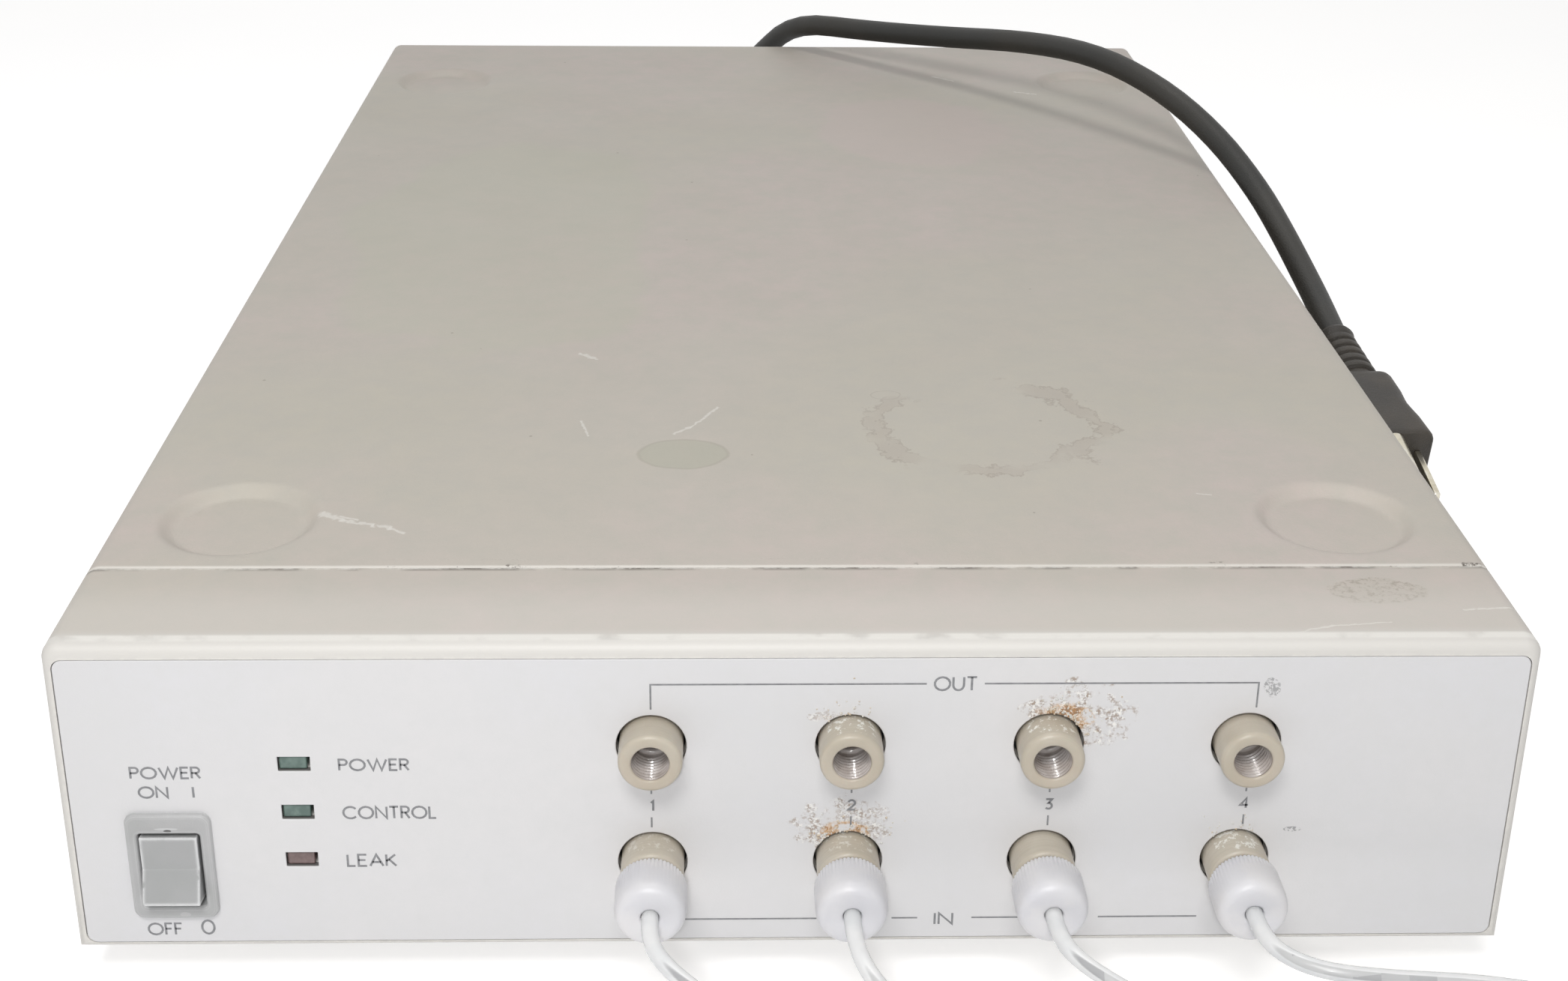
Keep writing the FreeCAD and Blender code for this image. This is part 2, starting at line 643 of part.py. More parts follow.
cut_half_w = SWITCH_BODY_W / 2 + SWITCH_CUT_GAP
cut_half_h = SWITCH_BODY_H / 2 + SWITCH_CUT_GAP
panel_cuts.append(box(SWITCH_X - cut_half_w, SWITCH_X + cut_half_w, FRONT_Y - PANEL_T,
                      FRONT_Y + BEZEL_BACK_OF_WALL * 2, switch_mid_z - cut_half_h,
                      switch_mid_z + cut_half_h))
for lamp_z in lamp_zs:
    panel_cuts.append(box(LAMP_X - LAMP_WINDOW_W / 2, LAMP_X + LAMP_WINDOW_W / 2, FRONT_Y - PANEL_T,
                          FRONT_Y + BEZEL_BACK_OF_WALL + SHEET, lamp_z - LAMP_WINDOW_H / 2,
                          lamp_z + LAMP_WINDOW_H / 2))
front_bezel = fused(bezel_pieces).cut(group(bezel_cuts)).cut(group(panel_cuts))
save("front_bezel", front_bezel)

# Front panel: the printed plate let into the bezel
plate_x = panel_x - PANEL_GAP
front_panel = box(-plate_x, plate_x, FRONT_Y, FRONT_Y + PANEL_T, panel_low + PANEL_GAP,
                  panel_high - PANEL_GAP)
front_panel = front_panel.makeFillet(PANEL_CORNER_R - PANEL_GAP, deep_edges(front_panel))
front_panel = front_panel.cut(group(panel_cuts))
save("front_panel", front_panel)

# Feet: rubber buffers under the tray, each with a screw recess
feet = []
for spot in foot_spots:
    foot = cone(V(spot.x, spot.y, 0), Z, FOOT_R - FOOT_TAPER, FOOT_R, FOOT_H)
    feet.append(foot.cut(rod(V(spot.x, spot.y, 0), Z, FOOT_HOLE_R, FOOT_HOLE_L)))
save("feet", group(feet))

# Cover screws: pan heads on the rear panel, through to the tabs of the tray and the cover
screws = []
for screw_x, screw_z in screw_spots:
    head = rod(V(screw_x, REAR_Y, screw_z), Y, SCREW_HEAD_R, SCREW_HEAD_H)
    head = head.makeFillet(SCREW_HEAD_H / 2, edges_where(head, lambda b: b.YMin > REAR_Y + TINY))
    shank = rod(V(screw_x, REAR_Y + SCREW_HEAD_H / 2, screw_z), -Y, SCREW_R, SCREW_L)
    slots = group([
        box(screw_x - SCREW_HEAD_R / 2, screw_x + SCREW_HEAD_R / 2,
            REAR_Y + SCREW_HEAD_H - SCREW_SLOT_DEEP, REAR_Y + SCREW_HEAD_H * 2,
            screw_z - SCREW_SLOT_W / 2, screw_z + SCREW_SLOT_W / 2),
        box(screw_x - SCREW_SLOT_W / 2, screw_x + SCREW_SLOT_W / 2,
            REAR_Y + SCREW_HEAD_H - SCREW_SLOT_DEEP, REAR_Y + SCREW_HEAD_H * 2,
            screw_z - SCREW_HEAD_R / 2, screw_z + SCREW_HEAD_R / 2),
    ])
    screws.append(head.fuse(shank).cut(slots))
save("cover_screws", group(screws))

# Port fittings: a round head through the panel, a shank through the bracket, a bored thread seat
def port_fitting(x, z):
    """One bulkhead fitting, with its bore, mouth chamfer and the small way to the inner line."""
    front = FRONT_Y - PORT_REACH
    head = rod(V(x, front, z), Y, PORT_R, PORT_REACH + BRACKET_BEHIND)
    head = head.makeFillet(PORT_EDGE_R, edges_where(head, lambda b: b.YMax < front + TINY))
    shank = rod(V(x, front + PORT_REACH, z), Y, PORT_SHANK_R, PORT_TAIL_Y - FRONT_Y)
    bore = rod(V(x, front, z), Y, PORT_MOUTH_R, PORT_BORE_L)
    mouth = cone(V(x, front, z), Y, PORT_MOUTH_R + PORT_MOUTH_CHAMFER, PORT_MOUTH_R, PORT_MOUTH_CHAMFER)
    way = rod(V(x, front, z), Y, PORT_WAY_R, PORT_TAIL_Y - front)
    return head.fuse(shank).removeSplitter().cut(group([bore])).cut(mouth).cut(way)


for number, port_x in enumerate(PORT_XS, start=1):
    save(f"out_port_{number}", port_fitting(port_x, OUT_ROW_Z))
save("in_ports", group([port_fitting(port_x, IN_ROW_Z) for port_x in PORT_XS]))

# Port bracket: an angle that stands on the tongue and carries all the fittings
bracket_x0 = PORT_XS[0] - BRACKET_MARGIN_X
bracket_x1 = PORT_XS[-1] + BRACKET_MARGIN_X
bracket_y = FRONT_Y + BRACKET_BEHIND
bracket = fused([
    box(bracket_x0, bracket_x1, bracket_y, bracket_y + BRACKET_T, TONGUE_TOP_Z,
        OUT_ROW_Z + BRACKET_TOP_MARGIN),
    box(bracket_x0, bracket_x1, bracket_y, bracket_y + BRACKET_FOOT_L, TONGUE_TOP_Z,
        TONGUE_TOP_Z + BRACKET_T),
])
bracket_holes = [through(V(spot.x, bracket_y, spot.z), Y, PORT_SHANK_R + SHANK_FIT, BRACKET_T)
                 for spot in port_spots]
save("port_bracket", bracket.cut(group(bracket_holes)))

# Lock nuts: six-sided nuts behind the bracket
locknuts = []
side_turn = 2 * math.pi / HEX_SIDES
corner_r = LOCKNUT_FLATS / 2 / math.cos(side_turn / 2)
locknut_y = bracket_y + BRACKET_T
for spot in port_spots:
    corners = [V(spot.x + corner_r * math.cos(k * side_turn), locknut_y,
                 spot.z + corner_r * math.sin(k * side_turn)) for k in range(HEX_SIDES)]
    hexagon = Part.Face(Part.makePolygon(corners + [corners[0]])).extrude(Y * LOCKNUT_H)
    hole = through(V(spot.x, locknut_y, spot.z), Y, PORT_SHANK_R + SHANK_FIT, LOCKNUT_H)
    locknuts.append(hexagon.cut(hole))
save("port_locknuts", group(locknuts))

# Inlet lines: nut, ferrule on the tube's end, tube, coil of the rest, suction filter
ferrule_y = FRONT_Y - PORT_REACH - NUT_GAP + NUT_THREAD_L + FERRULE_GAP
for number, (port_x, route, coil_x) in enumerate(zip(PORT_XS, INLET_ROUTES, COIL_X), start=1):
    nut_back = FRONT_Y - PORT_REACH - NUT_GAP
    nut = turned([(0, NUT_FRONT_Y), (NUT_NECK_R, NUT_FRONT_Y), (NUT_R, NUT_FRONT_Y + NUT_NOSE_L),
                  (NUT_R, nut_back - NUT_NECK_L), (NUT_NECK_R, nut_back - NUT_NECK_L),
                  (NUT_NECK_R, nut_back), (NUT_THREAD_R, nut_back),
                  (NUT_THREAD_R, nut_back + NUT_THREAD_L), (0, nut_back + NUT_THREAD_L)],
                 V(port_x, 0, IN_ROW_Z), Y)
    nut_bore = through(V(port_x, NUT_FRONT_Y, IN_ROW_Z), Y, TUBE_OD / 2 + TUBE_FIT,
                       nut_back + NUT_THREAD_L - NUT_FRONT_Y)
    save(f"inlet_nut_{number}", nut.cut(nut_bore))
    ferrule_l = PORT_FLOOR_Y - FERRULE_SEAT_GAP - ferrule_y
    ferrule = cone(V(port_x, ferrule_y, IN_ROW_Z), Y, FERRULE_WIDE_R, FERRULE_TIP_R, ferrule_l)
    tube_end = rod(V(port_x, NUT_FRONT_Y, IN_ROW_Z), Y, TUBE_OD / 2, ferrule_y + ferrule_l - NUT_FRONT_Y)
    way = rod(V(port_x, NUT_FRONT_Y, IN_ROW_Z), Y, PORT_WAY_R, ferrule_y + ferrule_l - NUT_FRONT_Y)
    save(f"ferrule_{number}", ferrule.fuse(tube_end).removeSplitter().cut(way))
    save(f"inlet_tube_{number}", cord_tube(route, TUBE_OD, f"inlet_tube_{number}"))
    coil_at = V(coil_x, COIL_Y, 0)
    ring = coil_ring(coil_at, COIL_OUTER_R, COIL_TURNS, TURN_PITCH, TUBE_OD, COIL_ROUND)
    join_x = coil_x + COIL_OUTER_R
    start_stub = rod(V(join_x, COIL_Y, TUBE_OD / 2), Y, TUBE_OD / 2, COIL_STUB_L)
    end_z = TUBE_OD / 2 + TURN_PITCH
    end_stub = rod(V(join_x, COIL_Y, end_z), -Y, TUBE_OD / 2, COIL_END_STUB_L)
    save(f"inlet_coil_{number}", fused([ring, start_stub, end_stub]))
    filter_at = V(join_x, COIL_Y - COIL_END_STUB_L, end_z)
    neck = rod(filter_at, -Y, FILTER_NECK_R, FILTER_NECK_L)
    shell = rod(filter_at - Y * FILTER_NECK_L, -Y, end_z, FILTER_L)
    shell = shell.makeFillet(FILTER_EDGE_R, edges_where(shell, lambda b: b.YLength < TINY))
    save(f"inlet_filter_{number}", neck.fuse(shell).removeSplitter())

# Mains lead: gland in the rear panel, tube to the coil, coil, tube over the case to the plug
gland_flange = rod(gland_at, Y, GLAND_FLANGE_R, GLAND_FLANGE_T)
gland_barrel = rod(gland_at, -Y, GLAND_HOLE_R - GLAND_FIT, SHEET + GLAND_INSIDE_L)
gland_nut = rod(V(gland_at.x, REAR_IN_Y, gland_at.z), -Y, GLAND_NUT_R, GLAND_NUT_T)
relief = cone(V(gland_at.x, gland_at.y + GLAND_FLANGE_T, gland_at.z), Y, RELIEF_BASE_R, RELIEF_TIP_R,
              RELIEF_L)
save("mains_gland", fused([gland_flange, gland_barrel, gland_nut, relief]))
save("mains_lead_rear", cord_tube(LEAD_REAR_ROUTE, LEAD_OD, "mains_lead_rear"))
lead_coil_at = V(LEAD_COIL_X, LEAD_COIL_Y, 0)
lead_ring = coil_ring(lead_coil_at, LEAD_OUTER_R, LEAD_TURNS, LEAD_PITCH, LEAD_OD, LEAD_ROUND)
lead_in = rod(V(LEAD_COIL_X + LEAD_OUTER_R, LEAD_COIL_Y, LEAD_OD / 2), -Y, LEAD_OD / 2, LEAD_STUB_L)
lead_turn = 2 * math.pi * (LEAD_TURNS % 1)
lead_out_at = V(LEAD_COIL_X + LEAD_OUTER_R * math.cos(lead_turn),
                LEAD_COIL_Y + LEAD_OUTER_R * math.sin(lead_turn), LEAD_OD / 2 + LEAD_PITCH)
lead_out_way = V(-math.sin(lead_turn), math.cos(lead_turn), 0)
lead_out = rod(lead_out_at, lead_out_way, LEAD_OD / 2, LEAD_STUB_L)
save("mains_coil", fused([lead_ring, lead_in, lead_out]))
print("lead leaves the coil at", lead_out_at + lead_out_way * LEAD_STUB_L, "towards", lead_out_way)
save("mains_lead_front", cord_tube(LEAD_FRONT_ROUTE, LEAD_OD, "mains_lead_front"))

# Plug: a ribless moulding that widens to its face, with two blades and a round earth pin
plug_at = LEAD_FRONT_ROUTE[-1]
plug_way = (LEAD_FRONT_ROUTE[-1] - LEAD_FRONT_ROUTE[-2]).normalize()
plug_side = plug_way.cross(Z).normalize()
plug_up = plug_side.cross(plug_way).normalize()
plug_relief = cone(plug_at, plug_way, PLUG_RELIEF_TIP_R, PLUG_RELIEF_R, PLUG_RELIEF_L)


def plug_section(along, width, thickness):
    """A rectangle across the plug at a distance from the lead's end."""
    middle = plug_at + plug_way * along
    across = plug_side * (width / 2)
    up = plug_up * (thickness / 2)
    corners = [middle - across - up, middle + across - up, middle + across + up, middle - across + up]
    return Part.makePolygon(corners + [corners[0]])


plug_block = Part.makeLoft([
    plug_section(PLUG_RELIEF_L, PLUG_BACK_W, PLUG_BACK_T),
    plug_section(PLUG_RELIEF_L + PLUG_BODY_L, PLUG_FACE_W, PLUG_FACE_T),
], True, True)
plug_face_at = plug_at + plug_way * (PLUG_RELIEF_L + PLUG_BODY_L)
lean_limit = math.cos(math.radians(PLUG_EDGE_LEAN))
along_edges = [edge for edge in plug_block.Edges
               if abs(edge.tangentAt(edge.FirstParameter).dot(plug_way)) > lean_limit]
plug_block = plug_block.makeFillet(PLUG_ROUND, along_edges)
save("plug_body", plug_relief.fuse(plug_block).removeSplitter())
pins = []
for side in (-1, 1):
    blade_mid = plug_face_at + plug_side * (side * BLADE_APART / 2)
    half_t = plug_side * (BLADE_T / 2)
    half_w = plug_up * (BLADE_W / 2)
    blade_face = Part.Face(Part.makePolygon([
        blade_mid - half_t - half_w, blade_mid + half_t - half_w, blade_mid + half_t + half_w,
        blade_mid - half_t + half_w, blade_mid - half_t - half_w]))
    pins.append(blade_face.extrude(plug_way * BLADE_L))
earth = rod(plug_face_at + plug_up * EARTH_OFF, plug_way, EARTH_R, BLADE_L)
pins.append(earth)
save("plug_pins", group(pins))

# Rocker switch: a framed housing through the panel, and the rocker on its two pivot pins
frame_half_w = SWITCH_FRAME_W / 2
frame_half_h = SWITCH_FRAME_H / 2
switch_frame = box(SWITCH_X - frame_half_w, SWITCH_X + frame_half_w, FRONT_Y - SWITCH_FRAME_T, FRONT_Y,
                   switch_mid_z - frame_half_h, switch_mid_z + frame_half_h)
switch_frame = switch_frame.makeFillet(SWITCH_FRAME_R, deep_edges(switch_frame))
switch_barrel = box(SWITCH_X - SWITCH_BODY_W / 2, SWITCH_X + SWITCH_BODY_W / 2, FRONT_Y - SWITCH_FRAME_T,
                    FRONT_Y + SWITCH_BODY_L, switch_mid_z - SWITCH_BODY_H / 2,
                    switch_mid_z + SWITCH_BODY_H / 2)
well_half_w = ROCKER_W / 2 + ROCKER_GAP
well_half_h = ROCKER_H / 2 + ROCKER_GAP
well = box(SWITCH_X - well_half_w, SWITCH_X + well_half_w, FRONT_Y - SWITCH_FRAME_T * 2,
           FRONT_Y + WELL_DEEP, ROCKER_PIVOT.z - well_half_h, ROCKER_PIVOT.z + well_half_h)
pivot_half = ROCKER_W / 2 + ROCKER_GAP + PIVOT_L
pivot_hole = rod(ROCKER_PIVOT - X * pivot_half, X, PIVOT_R + PIVOT_FIT, pivot_half * 2)
terminals = []
for number in range(TERMINAL_COUNT):
    terminal_z = switch_mid_z + (number - (TERMINAL_COUNT - 1) / 2) * TERMINAL_PITCH
    terminals.append(box(SWITCH_X - TERMINAL_W / 2, SWITCH_X + TERMINAL_W / 2, FRONT_Y + SWITCH_BODY_L,
                         FRONT_Y + SWITCH_BODY_L + TERMINAL_L, terminal_z - TERMINAL_T / 2,
                         terminal_z + TERMINAL_T / 2))
switch_housing = fused([switch_frame, switch_barrel] + terminals).cut(group([well, pivot_hole]))
save("switch_housing", switch_housing)
half_tilt = math.radians(ROCKER_TURN / 2)
face_out = (SWITCH_FRAME_T + PIVOT_BEHIND + ROCKER_PROUD) / math.cos(half_tilt)
half_face = ROCKER_H / 2 - face_out * math.sin(half_tilt)
corner_y = -face_out - half_face * math.sin(half_tilt)
corner_z = half_face * math.cos(half_tilt)
rocker_profile = [V(0, -face_out, 0), V(0, corner_y, corner_z), V(0, 0, corner_z),
                  V(0, ROCKER_BACK, corner_z / 2), V(0, ROCKER_BACK, -corner_z / 2),
                  V(0, 0, -corner_z), V(0, corner_y, -corner_z)]
rocker = Part.Face(Part.makePolygon(rocker_profile + [rocker_profile[0]])).extrude(X * ROCKER_W)
rocker.translate(X * (-ROCKER_W / 2))
pin_half = ROCKER_W / 2 + ROCKER_GAP / 2 + PIVOT_L
rocker = rocker.fuse(rod(X * -pin_half, X, PIVOT_R, pin_half * 2)).removeSplitter()
rocker.rotate(V(0, 0, 0), X, -ROCKER_TURN / 2)
rocker.translate(ROCKER_PIVOT)
save("rocker", rocker)

# Lamps: square lenses behind their windows, on one small board
for lamp_node, lamp_z in zip(lamp_nodes, lamp_zs):
    lens_left = LAMP_X - LAMP_WINDOW_W / 2 + PANEL_GAP
    save(lamp_node, box(lens_left, lens_left + LAMP_W, FRONT_Y + LAMP_SUNK, FRONT_Y + LAMP_BOARD_BEHIND,
                        lamp_z - LAMP_H / 2, lamp_z + LAMP_H / 2))
save("lamp_board", box(LAMP_X - LAMP_BOARD_W / 2, LAMP_X + LAMP_BOARD_W / 2, FRONT_Y + LAMP_BOARD_BEHIND,
                       FRONT_Y + LAMP_BOARD_BEHIND + LAMP_BOARD_T, board_low, board_high))

# Vacuum chamber: a block with a pocket, its lid, and the four membrane coils in the pocket
chamber_back = CHAMBER_Y + CHAMBER_D
chamber = box(CHAMBER_LEFT_X, CHAMBER_RIGHT_X, CHAMBER_Y, chamber_back, FLOOR_Z, CHAMBER_TOP_Z)
pocket = box(CHAMBER_LEFT_X + CHAMBER_WALL, CHAMBER_RIGHT_X - CHAMBER_WALL, CHAMBER_Y + CHAMBER_WALL,
             chamber_back - CHAMBER_WALL, FLOOR_Z + CHAMBER_WALL, CHAMBER_TOP_Z + CHAMBER_WALL)
pocket = pocket.makeFillet(CHAMBER_WALL, upright_edges(pocket))
save("chamber_body", chamber.cut(pocket))
lid_plate = box(CHAMBER_LEFT_X, CHAMBER_RIGHT_X, CHAMBER_Y, chamber_back, CHAMBER_TOP_Z,
                CHAMBER_TOP_Z + CHAMBER_LID_H)
lid_plug = box(CHAMBER_LEFT_X + CHAMBER_WALL + LID_FIT, CHAMBER_RIGHT_X - CHAMBER_WALL - LID_FIT,
               CHAMBER_Y + CHAMBER_WALL + LID_FIT, chamber_back - CHAMBER_WALL - LID_FIT,
               CHAMBER_TOP_Z - CHAMBER_LID_LIP, CHAMBER_TOP_Z)
lid_plug = lid_plug.makeFillet(CHAMBER_WALL - LID_FIT, upright_edges(lid_plug))
save("chamber_lid", fused([lid_plate, lid_plug]))
cell_w = (CHAMBER_RIGHT_X - CHAMBER_LEFT_X - CHAMBER_WALL * 2) / 2
cell_d = (CHAMBER_D - CHAMBER_WALL * 2) / 2
membrane_r = min(cell_w, cell_d) / 2 - MEMBRANE_GAP
membranes = []
for column in (0, 1):
    for row in (0, 1):
        centre = V(CHAMBER_LEFT_X + CHAMBER_WALL + cell_w * (column + 1 / 2),
                   CHAMBER_Y + CHAMBER_WALL + cell_d * (row + 1 / 2), FLOOR_Z + CHAMBER_WALL)
        membranes.append(rod(centre, Z, membrane_r, MEMBRANE_H).cut(
            rod(centre, Z, membrane_r - MEMBRANE_BAND, MEMBRANE_H)))
save("membrane_coils", group(membranes))

# Inner solvent lines: straight from the IN ports, stepped down from the OUT ports
inner_lines = []
for number, port_x in enumerate(PORT_XS, start=1):
    inner_lines.append(rod(V(port_x, PORT_TAIL_Y, IN_ROW_Z), Y, LINE_OD / 2, CHAMBER_Y - PORT_TAIL_Y))
    step_from = V(port_x, PORT_TAIL_Y, OUT_ROW_Z)
    step_to = V(port_x, CHAMBER_Y, OUT_ROW_Z - OUT_LINE_DROP)
    inner_lines.append(cord_tube([step_from, step_from + Y * LINE_LEAD_IN, step_to - Y * LINE_LEAD_IN,
                                  step_to], LINE_OD, f"inner out line {number}"))
save("inner_lines", group(inner_lines))

# Vacuum pump: motor on its foot, eccentric on the motor's shaft, head with the diaphragm's cover
motor = rod(V(MOTOR_X, MOTOR_Y, MOTOR_Z), X, MOTOR_R, MOTOR_L)
motor_foot = box(MOTOR_X + MOTOR_FOOT_H, MOTOR_FACE_X - MOTOR_FOOT_H, MOTOR_Y - MOTOR_FOOT_W / 2,
                 MOTOR_Y + MOTOR_FOOT_W / 2, FLOOR_Z, MOTOR_Z - MOTOR_R / 2)
shaft_bore = rod(V(MOTOR_FACE_X, MOTOR_Y, MOTOR_Z), -X, SHAFT_R + SHAFT_FIT, SHAFT_BORE_L)
save("pump_motor", fused([motor, motor_foot]).cut(shaft_bore))
shaft_start = MOTOR_FACE_X - SHAFT_BORE_L + SHAFT_END_GAP
disc_start = MOTOR_FACE_X + ECCENTRIC_FROM_MOTOR
shaft = rod(V(shaft_start, MOTOR_Y, MOTOR_Z), X, SHAFT_R, disc_start + ECCENTRIC_T - shaft_start)
disc = rod(V(disc_start, MOTOR_Y, MOTOR_Z - ECCENTRIC_OFF), X, ECCENTRIC_R, ECCENTRIC_T)
save("pump_eccentric", fused([shaft, disc]))
pump_top = MOTOR_Z + PUMP_CAVITY_R + PUMP_TOP_OVER
pump_body = box(PUMP_X, PUMP_X + PUMP_L, MOTOR_Y - PUMP_D / 2, MOTOR_Y + PUMP_D / 2, FLOOR_Z, pump_top)
pump_cover = box(PUMP_X + PUMP_COVER_IN, PUMP_X + PUMP_L - PUMP_COVER_IN,
                 MOTOR_Y - PUMP_D / 2 + PUMP_COVER_IN, MOTOR_Y + PUMP_D / 2 - PUMP_COVER_IN, pump_top,
                 pump_top + PUMP_COVER_H)
pump_cavity = rod(V(PUMP_X, MOTOR_Y, MOTOR_Z), X, PUMP_CAVITY_R, PUMP_CAVITY_L)
save("pump_head", fused([pump_body, pump_cover]).cut(pump_cavity))

# Exhaust spigot in the rear panel
spigot = rod(exhaust_at, Y, EXHAUST_R, EXHAUST_REACH)
spigot = spigot.makeFillet(EXHAUST_EDGE_R, edges_where(
    spigot, lambda b: b.YLength < TINY and b.YMin > REAR_Y + TINY))
exhaust_flange = rod(exhaust_at, Y, EXHAUST_FLANGE_R, EXHAUST_FLANGE_T)
exhaust_thread = rod(exhaust_at, -Y, EXHAUST_THREAD_R, SHEET)
exhaust_inner = rod(V(exhaust_at.x, REAR_IN_Y, exhaust_at.z), -Y, EXHAUST_R, EXHAUST_INSIDE_L)
exhaust_bore = rod(exhaust_at + Y * EXHAUST_REACH, -Y, EXHAUST_BORE_R,
                   EXHAUST_REACH + SHEET + EXHAUST_INSIDE_L)
save("exhaust_spigot", fused([spigot, exhaust_flange, exhaust_thread, exhaust_inner]).cut(exhaust_bore))

# Vacuum hoses: chamber to pump, and pump to the exhaust spigot
hose_z = CASE_Z + HOSE_Z
hose_a0 = V(HOSE_CHAMBER_X, chamber_back, hose_z)
hose_a1 = V(PUMP_MID_X, MOTOR_Y - PUMP_D / 2, hose_z)
hose_b0 = V(PUMP_MID_X, MOTOR_Y + PUMP_D / 2, hose_z)
hose_b1 = V(EXHAUST_X, REAR_IN_Y - EXHAUST_INSIDE_L, hose_z)
hoses = [
    cord_tube([hose_a0, hose_a0 + Y * HOSE_LEAD_IN, hose_a1 - Y * HOSE_LEAD_IN, hose_a1], HOSE_OD,
              "hose from the chamber"),
    cord_tube([hose_b0, hose_b0 + Y * HOSE_LEAD_IN, hose_b1 - Y * HOSE_LEAD_IN, hose_b1], HOSE_OD,
              "hose to the exhaust"),
]
save("vacuum_hoses", group(hoses))

# Vent valve: a square solenoid with its plunger standing out at the top
valve_y = FRONT_Y + VALVE_BEHIND
valve_block = box(VALVE_X, VALVE_X + VALVE_SIDE, valve_y - VALVE_SIDE / 2, valve_y + VALVE_SIDE / 2,
                  FLOOR_Z, FLOOR_Z + VALVE_H)
plunger_low = FLOOR_Z + VALVE_H + PLUNGER_PROUD - PLUNGER_L
plunger_at = V(VALVE_X + VALVE_SIDE / 2, valve_y, plunger_low)
plunger_bore_low = plunger_low - PLUNGER_TRAVEL - PLUNGER_END_GAP
save("vent_valve", valve_block.cut(rod(V(plunger_at.x, valve_y, plunger_bore_low), Z,
                                       PLUNGER_R + PLUNGER_FIT, VALVE_H)))
save("valve_plunger", rod(plunger_at, Z, PLUNGER_R, PLUNGER_L))


def board_on_posts(x0, width, y0, depth):
    """A board on four posts that stand on the tray, and the height of its upper face."""
    pieces = [box(x0, x0 + width, y0, y0 + depth, FLOOR_Z + POST_H, FLOOR_Z + POST_H + BOARD_T)]
    for post_x in (x0 + POST_INSET, x0 + width - POST_INSET):
        for post_y in (y0 + POST_INSET, y0 + depth - POST_INSET):
            pieces.append(rod(V(post_x, post_y, FLOOR_Z), Z, POST_R, POST_H))
    return pieces, FLOOR_Z + POST_H + BOARD_T


# Control board with its chips, and the power supply with transformer, capacitors and heat sink
control_y = FRONT_Y + CONTROL_BEHIND
control_pieces, control_top = board_on_posts(CONTROL_X, CONTROL_W, control_y, CONTROL_D)
for number in range(CHIP_COUNT):
    chip_y = control_y + CHIP_GAP + number * (CHIP_SIDE + CHIP_GAP)
    chip_x = CONTROL_X + CONTROL_W / 2 + (-1) ** number * CHIP_SIDE / 2
    control_pieces.append(box(chip_x - CHIP_SIDE / 2, chip_x + CHIP_SIDE / 2, chip_y, chip_y + CHIP_SIDE,
                              control_top, control_top + CHIP_H))
save("control_board", fused(control_pieces))
supply_pieces, supply_top = board_on_posts(SUPPLY_X, SUPPLY_W, SUPPLY_Y, SUPPLY_D)
transformer_x = SUPPLY_X + CHIP_GAP
transformer_y = SUPPLY_Y + CHIP_GAP
supply_pieces.append(box(transformer_x, transformer_x + TRANSFORMER_SIDE, transformer_y,
                         transformer_y + TRANSFORMER_SIDE, supply_top, supply_top + TRANSFORMER_H))
for number in range(CAPACITOR_COUNT):
    can_at = V(SUPPLY_X + CHIP_GAP + CAPACITOR_R + number * (CAPACITOR_R * 2 + CAPACITOR_APART),
               SUPPLY_Y + SUPPLY_D - CHIP_GAP - CAPACITOR_R, supply_top)
    supply_pieces.append(rod(can_at, Z, CAPACITOR_R, CAPACITOR_H))
sink_x = SUPPLY_X + SUPPLY_W - CHIP_GAP
supply_pieces.append(box(sink_x, sink_x + SINK_T, transformer_y, SUPPLY_Y + SUPPLY_D - CHIP_GAP,
                         supply_top, supply_top + SINK_H))
save("power_supply", fused(supply_pieces))

# Leak sensor: a small block with two prongs over the tray, under the ports' side
leak_y = FRONT_Y + LEAK_BEHIND
leak_pieces = [box(LEAK_X, LEAK_X + LEAK_W, leak_y, leak_y + LEAK_D, FLOOR_Z, FLOOR_Z + LEAK_H)]
for side in (-1, 1):
    prong_at = V(LEAK_X + LEAK_W / 2 + side * PRONG_APART / 2, leak_y, FLOOR_Z + LEAK_H / 2)
    leak_pieces.append(rod(prong_at, -Y, PRONG_R, PRONG_L))
save("leak_sensor", fused(leak_pieces))
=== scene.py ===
"""A flat four-channel solvent degasser on a pale table: painted cover, moulded front, inlet and
outlet fittings, a rocker switch, three lamps, four clear inlet tubes and a mains lead.

The frame gives the real pieces. Lengths here are millimetres, and MM turns them into metres."""
import json
import math

import bpy
import bmesh
import numpy as np
from mathutils import Matrix

